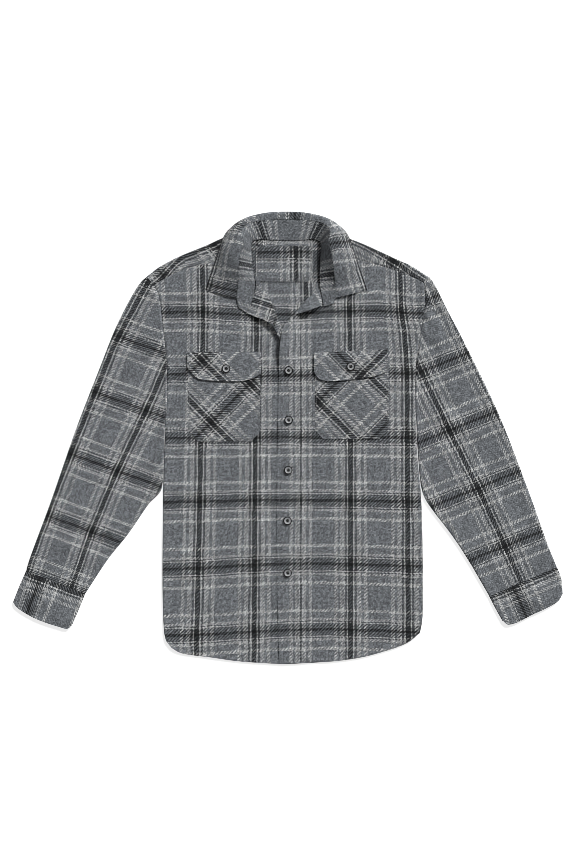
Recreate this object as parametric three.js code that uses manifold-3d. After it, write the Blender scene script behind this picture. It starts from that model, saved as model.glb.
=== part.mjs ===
// Flannel overshirt laid flat on its back, front up, top button open.
// Millimetres. X runs across the shirt, Y from hem to collar, Z up from the surface it lies on.
// Right and left in names are the wearer's: the wearer's right lies on the -X side.
import * as THREE from 'three';
import { mergeVertices } from 'three/addons/utils/BufferGeometryUtils.js';
import Module from 'manifold-3d';

const wasm = await Module();
wasm.setup();

// Cloth
const clothWall = 1.2;
const cuffWall = 1.8;
const seamGap = 0.3;
const sideSeamEase = 0.6;
const armholeGap = 0.8;
const underarmGap = 2.0;
const backSeamGap = 0.5;
const lowLevel = clothWall / 2;
const frontLevel = 2.4;
const sleeveLevel = 3.2;
const foldRadius = 1.9;
const foldCentre = lowLevel + foldRadius;
const edgeRise = 2.0;
const edgeSpread = 18;
const layerStep = 1.6;
const calmEdge = 12;

// Cuff buttons lie under the cuffs and lift the cloth around them
const cuffLiftFrom = 15;
const cuffLiftTo = 36;
const underLift = 2.9;
const sleeveTopLift = 2.6;
const cuffTopLift = 3;
const cuffTopLevel = 4.6;

// Placket, pockets and buttons
const placketLevel = 4.0;
const frontButtonX = 0.6;
const topButtonY = 121.8;
const bandSeamX = 22.8;
const bandRampLength = 9;
const bandRampFrom = 182;
const bandRampTo = 225;
const bandRampDrop = 1.5;
const frontButton = { diameter: 15, thickness: 3.2 };
const flapButton = { diameter: 15, thickness: 3.2 };
const cuffButton = { diameter: 11.5, thickness: 2.4 };
const buttonSpacing = 90.8;

// Outlines of the shirt as laid, one table for each edge, running outward side first or top first
const rightSide = {
  out: -1,
  shoulder: [
    { x: -254.2, y: 289.5 }, { x: -231.8, y: 306.6 }, { x: -197.3, y: 325 }, { x: -144.5, y: 346.8 },
    { x: -117, y: 359.4 }, { x: -93.4, y: 367 }, { x: -69.1, y: 363.5 },
  ],
  yokeSeam: [
    { x: -241, y: 275.1 }, { x: -216.9, y: 289.5 }, { x: -181.3, y: 305.4 }, { x: -136.6, y: 316.5 },
    { x: -68.8, y: 339.9 },
  ],
  armhole: [
    { x: -254.2, y: 289.5 }, { x: -241, y: 275.1 }, { x: -231.1, y: 248.1 }, { x: -226.6, y: 210.3 },
    { x: -217.6, y: 125.7 }, { x: -218.5, y: 86.1 }, { x: -220.3, y: 46.5 },
  ],
  bodySide: [
    { x: -220.3, y: 46.5 }, { x: -222.1, y: -21.9 }, { x: -224.1, y: -95.7 }, { x: -224.1, y: -322 },
    { x: -219.4, y: -364.6 }, { x: -209, y: -378 },
  ],
  seamLength: 372,
  hem: [
    { x: -209, y: -378 }, { x: -193.5, y: -387.1 }, { x: -135.7, y: -395.7 }, { x: -87.5, y: -402.4 },
    { x: -14.8, y: -407.2 },
  ],
  yokeEnd: 19.5,
  sleeveOuter: [
    { x: -254.2, y: 289.5 }, { x: -266.2, y: 277.8 }, { x: -305.8, y: 205.8 }, { x: -340.2, y: 120.3 },
    { x: -380.5, y: 16.5 }, { x: -426.4, y: -115.5 }, { x: -466.6, y: -224.6 }, { x: -470.5, y: -239.7 },
  ],
  sleeveInner: [
    { x: -222.9, y: 46.5 }, { x: -224.9, y: -21.9 }, { x: -226.9, y: -82 }, { x: -231, y: -98 },
    { x: -248.4, y: -115.5 }, { x: -288.5, y: -173.1 }, { x: -323.1, y: -216.1 }, { x: -366.1, y: -281.1 },
  ],
  cuffOuter: [{ x: -470.5, y: -239.7 }, { x: -482, y: -266 }, { x: -493.9, y: -296 }],
  cuffInner: [{ x: -366.1, y: -281.1 }, { x: -377, y: -308 }, { x: -389.6, y: -337 }],
  cuffEnd: [
    { x: -493.9, y: -296 }, { x: -489, y: -304 }, { x: -455.2, y: -325 }, { x: -414.9, y: -339.4 },
    { x: -396, y: -343.4 }, { x: -389.6, y: -337 },
  ],
  cuffButtonAt: { x: -446, y: -286 },
};

const leftSide = {
  out: 1,
  shoulder: [
    { x: 248.4, y: 291.9 }, { x: 220.1, y: 310 }, { x: 197.1, y: 320.3 }, { x: 133.9, y: 349.1 },
    { x: 109.8, y: 358.3 }, { x: 87.2, y: 367 }, { x: 62.9, y: 363.5 },
  ],
  yokeSeam: [
    { x: 245, y: 278.7 }, { x: 213.1, y: 295.2 }, { x: 178.7, y: 306.6 }, { x: 122.6, y: 322.6 },
    { x: 62.6, y: 341.7 },
  ],
  armhole: [
    { x: 248.4, y: 291.9 }, { x: 245, y: 278.7 }, { x: 247.7, y: 246.3 }, { x: 242.6, y: 212.1 },
    { x: 231.1, y: 136.5 }, { x: 229.3, y: 86.1 }, { x: 229.7, y: 46.5 },
  ],
  bodySide: [
    { x: 229.7, y: 46.5 }, { x: 233.3, y: -39.9 }, { x: 239.6, y: -110.1 }, { x: 242.6, y: -261.3 },
    { x: 241.6, y: -330 }, { x: 237.5, y: -351 },
  ],
  seamLength: 378,
  hem: [
    { x: 237.5, y: -351 }, { x: 214.4, y: -369.3 }, { x: 153.5, y: -390.2 }, { x: 115, y: -398.3 },
    { x: 73.3, y: -403.1 }, { x: 22, y: -404.8 },
  ],
  yokeEnd: 13.6,
  sleeveOuter: [
    { x: 248.4, y: 291.9 }, { x: 256, y: 287 }, { x: 288.5, y: 226 }, { x: 322.9, y: 160 },
    { x: 380.3, y: 39.3 }, { x: 437.8, y: -109.9 }, { x: 466.4, y: -190.2 }, { x: 483.7, y: -233.2 },
  ],
  sleeveInner: [
    { x: 232.3, y: 46.5 }, { x: 236.8, y: -39.9 }, { x: 242.2, y: -92 }, { x: 248.4, y: -111 },
    { x: 265.5, y: -135.6 }, { x: 294.3, y: -173.1 }, { x: 322.9, y: -216.1 }, { x: 363.1, y: -284.7 },
  ],
  cuffOuter: [{ x: 483.7, y: -233.2 }, { x: 491.5, y: -254 }, { x: 493.9, y: -281 }],
  cuffInner: [{ x: 363.1, y: -284.7 }, { x: 374, y: -306 }, { x: 387, y: -329 }],
  cuffEnd: [
    { x: 493.9, y: -281 }, { x: 486, y: -294 }, { x: 437.8, y: -319.4 }, { x: 409.1, y: -333.6 },
    { x: 395, y: -336 }, { x: 387, y: -329 },
  ],
  cuffButtonAt: { x: 444, y: -284 },
};

// Soft ridges of the laid cloth: middle, direction in degrees from X, half length, half width, rise
const bodyFolds = [
  { x: 226, y: 248, turn: 80, length: 34, width: 8, rise: 0.9 },
  { x: -212, y: 236, turn: 78, length: 44, width: 9, rise: 0.7 },
  { x: -186, y: -60, turn: 86, length: 90, width: 14, rise: 0.8 },
  { x: 196, y: -150, turn: 94, length: 110, width: 15, rise: 0.7 },
  { x: -120, y: -330, turn: 78, length: 50, width: 14, rise: 0.7 },
  { x: 108, y: -300, turn: 100, length: 60, width: 16, rise: 0.6 },
];
const sleeveFolds = [
  { x: -262, y: 190, turn: 64, length: 60, width: 12, rise: 1.1 },
  { x: -318, y: 60, turn: 20, length: 42, width: 13, rise: 1.2 },
  { x: -352, y: -70, turn: -24, length: 46, width: 12, rise: 1.1 },
  { x: -404, y: -190, turn: -22, length: 40, width: 11, rise: 1.0 },
  { x: 272, y: 176, turn: 118, length: 60, width: 12, rise: 1.1 },
  { x: 316, y: 20, turn: 156, length: 42, width: 13, rise: 1.2 },
  { x: 366, y: -96, turn: 24, length: 44, width: 12, rise: 1.1 },
  { x: 414, y: -206, turn: 26, length: 40, width: 11, rise: 1.0 },
];

// Placket, free edge first: across its width at each height, from the hem up to where it turns back
const placketRows = [
  { freeX: -15.6, freeY: -406.6, seamX: 21.8, seamY: -405, freeZ: 4.0, seamZ: 4.0 },
  { freeX: -18.4, freeY: -300, seamX: 21.8, seamY: -300, freeZ: 4.0, seamZ: 4.0 },
  { freeX: -19.4, freeY: -190, seamX: 21.8, seamY: -190, freeZ: 4.0, seamZ: 4.0 },
  { freeX: -19.4, freeY: -80, seamX: 22, seamY: -80, freeZ: 4.0, seamZ: 4.0 },
  { freeX: -17.6, freeY: 30, seamX: 22.2, seamY: 30, freeZ: 4.0, seamZ: 4.0 },
  { freeX: -16.4, freeY: 122, seamX: 22.2, seamY: 122, freeZ: 4.0, seamZ: 4.0 },
  { freeX: -15.3, freeY: 154, seamX: 22.2, seamY: 154, freeZ: 5.0, seamZ: 4.0 },
  { freeX: -13.9, freeY: 171, seamX: 22.2, seamY: 173, freeZ: 6.1, seamZ: 4.0 },
  { freeX: -8.8, freeY: 196, seamX: 22.2, seamY: 200, freeZ: 6.0, seamZ: 4.0 },
  { freeX: 2.5, freeY: 210.5, seamX: 22.2, seamY: 221, freeZ: 4.8, seamZ: 4.1 },
  { freeX: 13.3, freeY: 222, seamX: 21.4, seamY: 236, freeZ: 4.1, seamZ: 4.2 },
];
const leftLapel = {
  free: [{ x: 13.3, y: 222, z: 4.1 }, { x: 28.3, y: 225.8, z: 4.2 }, { x: 60.6, y: 238, z: 4.2 }],
  fold: [{ x: 21.4, y: 236, z: 4.2 }, { x: 27.4, y: 243.4, z: 4.2 }, { x: 44.3, y: 258, z: 4.2 },
    { x: 55.8, y: 266, z: 4.2 }],
  neck: [{ x: 60.6, y: 238, z: 4.2 }, { x: 60.2, y: 251, z: 4.2 }, { x: 55.8, y: 266, z: 4.2 }],
};

// Button band under the placket, then its tip and the turned-back lapel above the right front
const buttonBandRows = [
  { freeX: 20, freeY: -402, seamX: -14.6, seamY: -403.5, freeZ: 2.4, seamZ: 2.4 },
  { freeX: 20, freeY: -250, seamX: -14.6, seamY: -250, freeZ: 2.4, seamZ: 2.4 },
  { freeX: 20, freeY: -100, seamX: -14.6, seamY: -100, freeZ: 2.4, seamZ: 2.4 },
  { freeX: 20, freeY: 40, seamX: -14.6, seamY: 40, freeZ: 2.4, seamZ: 2.4 },
  { freeX: 18, freeY: 146, seamX: -14.4, seamY: 146, freeZ: 2.4, seamZ: 2.4 },
  { freeX: 8, freeY: 164, seamX: -13.8, seamY: 161, freeZ: 3.2, seamZ: 3.2 },
  { freeX: -6.4, freeY: 188, seamX: -12.6, seamY: 173.2, freeZ: 4.1, seamZ: 4.1 },
];
const rightLapel = {
  free: [{ x: -12.6, y: 173.2, z: 4.1 }, { x: -18.5, y: 185, z: 4.2 }, { x: -27, y: 200.5, z: 4.2 },
    { x: -39.4, y: 210.3, z: 4.2 }, { x: -58.1, y: 217.5, z: 4.2 }, { x: -73, y: 224, z: 4.2 }],
  fold: [{ x: -6.4, y: 188, z: 4.1 }, { x: -12, y: 201, z: 4.2 }, { x: -19.8, y: 218, z: 4.2 },
    { x: -29.5, y: 243, z: 4.2 }, { x: -47, y: 273.5, z: 4.2 }, { x: -62, y: 300, z: 4.2 }],
  neck: [{ x: -73, y: 224, z: 4.2 }, { x: -63.6, y: 246, z: 4.2 }, { x: -57.4, y: 276, z: 4.2 },
    { x: -62, y: 300, z: 4.2 }],
};

// Neck edges of the fronts, from the yoke seam down, then the line where the lapel folds
const rightOpening = [
  { x: -68.8, y: 339.9 }, { x: -66.4, y: 320 }, { x: -64.2, y: 300.5 }, { x: -47.7, y: 273.7 },
  { x: -30.4, y: 243.6 }, { x: -18.5, y: 216.1 }, { x: -12.6, y: 195 }, { x: -15.2, y: 160 },
  { x: -15.2, y: 40 }, { x: -15.2, y: -150 }, { x: -15.2, y: -407 },
];
const leftOpening = [
  { x: 62.6, y: 341.7 }, { x: 59.2, y: 316 }, { x: 57.2, y: 266.8 }, { x: 45.2, y: 258.8 },
  { x: 27, y: 243 }, { x: 23.8, y: 229 }, { x: 23.1, y: 205 }, { x: 23, y: 160 },
  { x: 23, y: 40 }, { x: 22.9, y: -150 }, { x: 22.7, y: -404.8 },
];

// Collar, one half: distance out from the middle, y and z of the neck seam and of the leaf seam
const collarMiddle = -3.1;
const standRows = [
  { seamOut: 60.8, seamY: 303, seamZ: 4.6, foldOut: 85, foldY: 305.7, foldZ: 25 },
  { seamOut: 62.3, seamY: 326, seamZ: 3.8, foldOut: 81, foldY: 331, foldZ: 29 },
  { seamOut: 63.8, seamY: 342, seamZ: 3.4, foldOut: 75.5, foldY: 347, foldZ: 30 },
  { seamOut: 61.5, seamY: 353.5, seamZ: 3.0, foldOut: 79, foldY: 370, foldZ: 27 },
  { seamOut: 50, seamY: 358.4, seamZ: 1.9, foldOut: 66, foldY: 384.9, foldZ: 14 },
  { seamOut: 25.6, seamY: 357.8, seamZ: 0.9, foldOut: 34.6, foldY: 391.8, foldZ: 7 },
  { seamOut: 0, seamY: 357.2, seamZ: 0.9, foldOut: 0, foldY: 392.5, foldZ: 6 },
];
const rightTabRows = [
  { seamOut: 71.5, seamY: 225, seamZ: 4.3, foldOut: 86, foldY: 236, foldZ: 4.5 },
  { seamOut: 61.8, seamY: 247, seamZ: 4.3, foldOut: 88.2, foldY: 250, foldZ: 5 },
  { seamOut: 56.4, seamY: 277, seamZ: 4.4, foldOut: 86.5, foldY: 277, foldZ: 12 },
];
const leftTabRows = [
  { seamOut: 68, seamY: 237, seamZ: 4.3, foldOut: 86, foldY: 242, foldZ: 4.5 },
  { seamOut: 65.2, seamY: 252, seamZ: 4.3, foldOut: 88, foldY: 254, foldZ: 5 },
  { seamOut: 61, seamY: 277, seamZ: 4.4, foldOut: 87, foldY: 279, foldZ: 12 },
];
// Leaf, one half: crest just past the leaf seam, outer turn, underside and free edge
const leafRows = [
  { foldOut: 88.8, foldY: 254, foldZ: 5.6, crestOut: 101, crestY: 255, crestZ: 7, turnOut: 131,
    turnY: 262, turnZ: 5.2, edgeOut: 145.8, edgeY: 266, edgeZ: 4.4 },
  { foldOut: 87.6, foldY: 278, foldZ: 13, crestOut: 99, crestY: 281, crestZ: 13, turnOut: 124,
    turnY: 286, turnZ: 7.4, edgeOut: 138, edgeY: 289.5, edgeZ: 4.6 },
  { foldOut: 85.8, foldY: 306, foldZ: 26, crestOut: 95, crestY: 309, crestZ: 25, turnOut: 115,
    turnY: 312, turnZ: 14, edgeOut: 129.2, edgeY: 314, edgeZ: 5.4 },
  { foldOut: 81.4, foldY: 331.4, foldZ: 29.6, crestOut: 90, crestY: 335, crestZ: 31, turnOut: 108,
    turnY: 335.5, turnZ: 19, edgeOut: 121, edgeY: 336.3, edgeZ: 7 },
  { foldOut: 76, foldY: 347.6, foldZ: 30.6, crestOut: 85.8, crestY: 350.5, crestZ: 32, turnOut: 103,
    turnY: 353, turnZ: 20, edgeOut: 114.1, edgeY: 357, edgeZ: 8.4 },
  { foldOut: 79.5, foldY: 370.6, foldZ: 27.6, crestOut: 90, crestY: 375, crestZ: 27, turnOut: 105,
    turnY: 375.5, turnZ: 14, edgeOut: 105, edgeY: 375, edgeZ: 6 },
  { foldOut: 66.4, foldY: 385.6, foldZ: 14.8, crestOut: 80, crestY: 392.8, crestZ: 15, turnOut: 88,
    turnY: 389.5, turnZ: 5, edgeOut: 79, edgeY: 376.5, edgeZ: 1.2 },
  { foldOut: 34.7, foldY: 392.5, foldZ: 7.8, crestOut: 39, crestY: 403.5, crestZ: 8, turnOut: 42,
    turnY: 401.5, turnZ: 1.6, edgeOut: 36.4, edgeY: 374, edgeZ: 0.6 },
  { foldOut: 0, foldY: 393.2, foldZ: 6.8, crestOut: 0, crestY: 406.4, crestZ: 6, turnOut: 0,
    turnY: 403, turnZ: 1.2, edgeOut: 0, edgeY: 373, edgeZ: 0.6 },
];

// Pockets and flaps: across at each height, and the curve of the flap's lower edge
const pocketRows = {
  right: [
    { y: 141, from: -179.3, to: -50.4 }, { y: 75, from: -179.3, to: -50.4 },
    { y: 9.8, from: -179.3, to: -51.5 }, { y: -6.5, from: -162, to: -67 },
  ],
  left: [
    { y: 141, from: 49.3, to: 181 }, { y: 75, from: 49.3, to: 181.1 },
    { y: 15.5, from: 49.3, to: 181.1 }, { y: -2.5, from: 63.4, to: 164 },
  ],
};
const flapEdges = {
  right: {
    top: [{ x: -181.6, y: 154.2 }, { x: -48.1, y: 154.2 }],
    bottom: [{ x: -181, y: 125.8 }, { x: -164, y: 107.9 }, { x: -134, y: 102.7 }, { x: -102.4, y: 101.4 },
      { x: -78.8, y: 102.7 }, { x: -61, y: 107.9 }, { x: -49.1, y: 116.2 }],
  },
  left: {
    top: [{ x: 46.8, y: 152.9 }, { x: 179.3, y: 159.9 }],
    bottom: [{ x: 46.8, y: 119.8 }, { x: 54, y: 107.9 }, { x: 69.3, y: 102.2 }, { x: 113, y: 105 },
      { x: 158, y: 111.5 }, { x: 175.9, y: 119.8 }, { x: 180.5, y: 131.7 }],
  },
};
const flapButtonAt = { right: { x: -111.2, y: 124.5 }, left: { x: 113, y: 128.2 } };
const patchRows = [
  { y: 345, from: -57.4, to: 43 }, { y: 300, from: -57.4, to: 43 }, { y: 288, from: -53.5, to: 43 },
  { y: 281.6, from: -49.5, to: 37 },
];

// Colours
const plaidGrey = new THREE.MeshStandardMaterial({ color: 0x696c70, roughness: 0.95, metalness: 0 });
const innerGrey = new THREE.MeshStandardMaterial({ color: 0x5d6064, roughness: 0.95, metalness: 0 });
const buttonGrey = new THREE.MeshStandardMaterial({ color: 0x3a3c3f, roughness: 0.35, metalness: 0 });

const shirt = new THREE.Group();
const upward = new THREE.Vector3(0, 1, 0);

// A smooth line through the rows of a table
function lineThrough(rows) {
  const points = rows.map((row) => new THREE.Vector3(row.x, row.y, row.z ?? 0));
  const line = new THREE.CatmullRomCurve3(points, false, 'centripetal');
  line.arcLengthDivisions = 500;
  return line;
}

function pointsAt(line, distances) {
  const length = line.getLength();
  return distances.map((distance) => line.getPointAt(THREE.MathUtils.clamp(distance / length, 0, 1)));
}

function evenPoints(line, count) {
  return Array.from({ length: count + 1 }, (_, step) => line.getPointAt(step / count));
}

// The point a share of the way along the straight stretches between some points
function betweenPoints(points, share) {
  const sums = shares(points);
  const after = Math.max(sums.findIndex((sum) => sum >= share), 1);
  const part = (share - sums[after - 1]) / (sums[after] - sums[after - 1]);
  return points[after - 1].clone().lerp(points[after], part);
}

function planDistance(a, b) {
  return Math.hypot(a.x - b.x, a.y - b.y);
}

function shares(points) {
  const sums = [0];
  for (let i = 1; i < points.length; i += 1) {
    sums.push(sums[i - 1] + planDistance(points[i], points[i - 1]));
  }
  const total = sums[sums.length - 1];
  return sums.map((sum) => sum / total);
}

// Fills four edge lines with rows of points: top and bottom run one way, start and end run down
function fillEdges(top, bottom, start, end) {
  const topShare = shares(top);
  const bottomShare = shares(bottom);
  const startShare = shares(start);
  const endShare = shares(end);
  const last = top.length - 1;
  const foot = start.length - 1;
  return start.map((_, row) => top.map((__, column) => {
    const v = (startShare[row] + endShare[row]) / 2;
    const u = topShare[column] * (1 - v) + bottomShare[column] * v;
    const point = new THREE.Vector3();
    point.addScaledVector(top[column], 1 - v).addScaledVector(bottom[column], v);
    point.addScaledVector(start[row], 1 - u).addScaledVector(end[row], u);
    point.addScaledVector(top[0], -(1 - u) * (1 - v)).addScaledVector(top[last], -u * (1 - v));
    point.addScaledVector(bottom[0], -(1 - u) * v).addScaledVector(bottom[last], -u * v);
    if (row === 0) return top[column].clone();
    if (row === foot) return bottom[column].clone();
    if (column === 0) return start[row].clone();
    if (column === last) return end[row].clone();
    return point;
  }));
}

// A sheet is a list of points and of four-cornered cells
function sheetOf(rows, closed = false) {
  const width = rows[0].length;
  const points = rows.flat();
  const cells = [];
  for (let row = 0; row + 1 < rows.length; row += 1) {
    for (let column = 0; column < (closed ? width : width - 1); column += 1) {
      const next = (column + 1) % width;
      const above = row * width;
      cells.push([above + column, above + next, above + width + next, above + width + column]);
    }
  }
  return { points, cells };
}

function joinSheets(sheets) {
  const points = [];
  const cells = [];
  const known = new Map();
  for (const sheet of sheets) {
    const indices = sheet.points.map((point) => {
      const key = [point.x, point.y, point.z].map((value) => value.toFixed(3)).join();
      if (!known.has(key)) {
        known.set(key, points.length);
        points.push(point);
      }
      return known.get(key);
    });
    sheet.cells.forEach((cell) => cells.push(cell.map((corner) => indices[corner])));
  }
  return { points, cells };
}

// Gives a sheet its wall, half to each side, and closes it along its free edges
function thicken(sheet, wall) {
  const { points, cells } = sheet;
  const normals = points.map(() => new THREE.Vector3());
  const triangles = [];
  const directed = new Set();
  for (const [a, b, c, d] of cells) {
    const across = points[c].clone().sub(points[a]);
    const back = points[d].clone().sub(points[b]);
    const normal = across.cross(back);
    [a, b, c, d].forEach((corner) => normals[corner].add(normal));
    triangles.push([a, b, c], [a, c, d]);
    [[a, b], [b, c], [c, d], [d, a]].forEach(([from, to]) => directed.add(`${from}_${to}`));
  }
  const count = points.length;
  const vertices = [];
  for (const side of [0.5, -0.5]) {
    points.forEach((point, index) => {
      const moved = normals[index].clone().normalize().multiplyScalar(wall * side).add(point);
      vertices.push(moved.x, moved.y, moved.z);
    });
  }
  const faces = [];
  for (const [a, b, c] of triangles) {
    faces.push(a, b, c, a + count, c + count, b + count);
  }
  for (const edge of directed) {
    const [a, b] = edge.split('_').map(Number);
    if (!directed.has(`${b}_${a}`)) {
      faces.push(b, a, a + count, b, a + count, b + count);
    }
  }
  return closedGeometry(vertices, faces);
}

function closedGeometry(vertices, faces) {
  let volume = 0;
  const corner = (index) => new THREE.Vector3().fromArray(vertices, index * 3);
  for (let i = 0; i < faces.length; i += 3) {
    volume += corner(faces[i]).dot(corner(faces[i + 1]).cross(corner(faces[i + 2])));
  }
  const outward = volume > 0 ? faces : faces.slice().reverse();
  const geometry = new THREE.BufferGeometry();
  geometry.setAttribute('position', new THREE.Float32BufferAttribute(vertices, 3));
  geometry.setIndex(outward);
  geometry.computeVertexNormals();
  return geometry;
}

function addPiece(name, geometry, material) {
  const mesh = new THREE.Mesh(geometry, material);
  mesh.name = name;
  shirt.add(mesh);
  return mesh;
}

// Steps across a rounded fold, seen from above
const foldSteps = [0, 45, 90].map((angle) => foldRadius * (1 - Math.cos(THREE.MathUtils.degToRad(angle))));

// Places down an armhole and down a side seam, and where the rounded side ends above the hem
const armholePlaces = [0.18, 0.3, 0.44, 0.6, 0.78, 0.94];
const sidePlaces = [22, 80, 150, 220, 290, 350];
const roundedDownTo = 350;
const frontPlaces = [0.12, 0.25, 0.39, 0.53, 0.67, 0.8, 0.9, 1];
const edgeColumn = 12;
const edgeColumnEnd = 30;
const backPlaces = [1, 2, 3, 4, 5, 6, 7].map((step) => step / 8);
const backEdgeColumn = 14;

function foldRise(folds, x, y) {
  let rise = 0;
  for (const fold of folds) {
    const turn = THREE.MathUtils.degToRad(fold.turn);
    const along = (x - fold.x) * Math.cos(turn) + (y - fold.y) * Math.sin(turn);
    const across = (y - fold.y) * Math.cos(turn) - (x - fold.x) * Math.sin(turn);
    rise += fold.rise * Math.exp(-((along / fold.length) ** 2) - ((across / fold.width) ** 2));
  }
  return rise;
}

function edgeLift(distance) {
  return edgeRise * Math.exp(-((distance / edgeSpread) ** 2));
}

// Height of the front of the body, away from its band, at a distance from its nearest folded edge
function bodyTop(x, y, distance) {
  const calm = 1 - Math.exp(-((distance / calmEdge) ** 2));
  return frontLevel + edgeLift(distance) + foldRise(bodyFolds, x, y) * calm;
}

function sleeveTop(x, y, edge, armhole) {
  const base = THREE.MathUtils.lerp(frontLevel, sleeveLevel, THREE.MathUtils.smoothstep(armhole, 0, 60));
  const nearest = Math.min(edge, armhole);
  const calm = 1 - Math.exp(-((nearest / calmEdge) ** 2));
  return base + edgeLift(nearest) + foldRise(sleeveFolds, x, y) * calm;
}

// Rounds a level down to the middle of the fold within the fold's radius of the edge
function roundedLevel(level, distance) {
  if (distance >= foldRadius) return level;
  return foldCentre + (level - foldCentre) * Math.sqrt(1 - (1 - distance / foldRadius) ** 2);
}

function armholeStations(side) {
  const line = lineThrough(side.armhole);
  const length = line.getLength();
  const middle = armholePlaces.map((share) => share * length);
  return { line, length, middle };
}

function sideLine(side, firstStation) {
  const { line, length, middle } = armholeStations(side);
  const first = firstStation === 'yokeSeam' ? side.yokeEnd : middle[0];
  const armholePart = [first, ...middle.filter((at) => at > first + 1), length - foldRadius, length];
  const body = lineThrough(side.bodySide);
  const places = [...sidePlaces, side.seamLength];
  const bodyPart = places.filter((at) => at < body.getLength() - 6);
  const points = [...pointsAt(line, armholePart), ...pointsAt(body, [...bodyPart, body.getLength()])];
  const curled = points.map((_, index) => {
    const onBody = index - armholePart.length + 1;
    if (onBody < 0) return 0;
    if (onBody === 0) return 1;
    return bodyPart[onBody - 1] < roundedDownTo ? 1 : 0;
  });
  return { points, curled };
}

function moveAlong(points, direction, distance) {
  return points.map((point) => point.clone().addScaledVector(direction, distance));
}

// Columns across a front: the rounded fold, the lifted edge, then even steps to the opening
function frontColumns(width) {
  const even = frontPlaces.map((share) => edgeColumnEnd + (width - edgeColumnEnd) * share);
  return [...foldSteps, edgeColumn, edgeColumnEnd, ...even];
}

function seamPoints(rows, inset) {
  const line = lineThrough(rows);
  const points = pointsAt(line, frontColumns(line.getLength()));
  return moveAlong(points, upward, inset);
}

function bandRamp(y) {
  const drop = THREE.MathUtils.smoothstep(y, bandRampFrom, bandRampTo) * bandRampDrop;
  return placketLevel - frontLevel - drop;
}

function frontPanel(side, opening) {
  const { points: start, curled } = sideLine(side, 'yokeSeam');
  const top = seamPoints(side.yokeSeam, -seamGap / 2);
  const openingLine = lineThrough(opening);
  const end = shares(start).map((share) => openingLine.getPointAt(share));
  const hemLine = lineThrough(side.hem);
  const bottom = pointsAt(hemLine, frontColumns(hemLine.getLength()));
  start[0] = top[0].clone();
  end[0] = top[top.length - 1].clone();
  bottom[0] = start[start.length - 1].clone();
  bottom[bottom.length - 1] = end[end.length - 1].clone();
  const rows = fillEdges(top, bottom, start, end);
  rows.forEach((row, index) => row.forEach((point) => {
    const fromSide = planDistance(point, start[index]);
    const level = bodyTop(point.x, point.y, fromSide);
    const rounded = roundedLevel(level, fromSide);
    point.z = THREE.MathUtils.lerp(level, rounded, curled[index]);
    if (side.out > 0) {
      const fromBand = Math.max(point.x - bandSeamX, 0);
      point.z += Math.max(bandRamp(point.y), 0) * Math.exp(-((fromBand / bandRampLength) ** 2));
    }
  }));
  rows.forEach((row, index) => {
    row[0].z += curled[index] * sideSeamEase;
  });
  return rows;
}

function across(width) {
  const farSteps = foldSteps.map((step) => width - step).reverse();
  const even = backPlaces.map((share) => backEdgeColumn + (width - 2 * backEdgeColumn) * share);
  return [...foldSteps, backEdgeColumn, ...even, width - backEdgeColumn, ...farSteps];
}

function backPanel() {
  const right = sideLine(rightSide, 'backSeam');
  const left = sideLine(leftSide, 'backSeam');
  const seam = lineThrough(backSeamRows);
  const hem = lineThrough(backHemRows());
  const top = moveAlong(pointsAt(seam, across(seam.getLength())), upward, seamGap / 2 - backSeamGap);
  const bottom = pointsAt(hem, across(hem.getLength()));
  right.points[0] = top[0].clone();
  left.points[0] = top[top.length - 1].clone();
  bottom[0] = right.points[right.points.length - 1].clone();
  bottom[bottom.length - 1] = left.points[left.points.length - 1].clone();
  const rows = fillEdges(top, bottom, right.points, left.points);
  rows.forEach((row, index) => row.forEach((point, column) => {
    const nearRight = column < row.length / 2;
    const edge = nearRight ? right.points[index] : left.points[index];
    const curled = nearRight ? right.curled[index] : left.curled[index];
    const distance = planDistance(point, edge);
    point.z = THREE.MathUtils.lerp(lowLevel, roundedLevel(lowLevel, distance), curled);
    if (column === 0 || column === row.length - 1) point.z -= curled * sideSeamEase;
  }));
  return rows;
}

const backSeamRows = [
  pointsAt(armholeStations(rightSide).line, [armholeStations(rightSide).middle[0]])[0],
  { x: -150, y: 262 }, { x: -60, y: 279 }, { x: -3, y: 280.5 }, { x: 54, y: 279 }, { x: 150, y: 262 },
  pointsAt(armholeStations(leftSide).line, [armholeStations(leftSide).middle[0]])[0],
];

function backHemRows() {
  const leftHem = leftSide.hem.slice(0, -1).reverse();
  return [...rightSide.hem, { x: 30, y: -406 }, ...leftHem];
}

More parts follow.
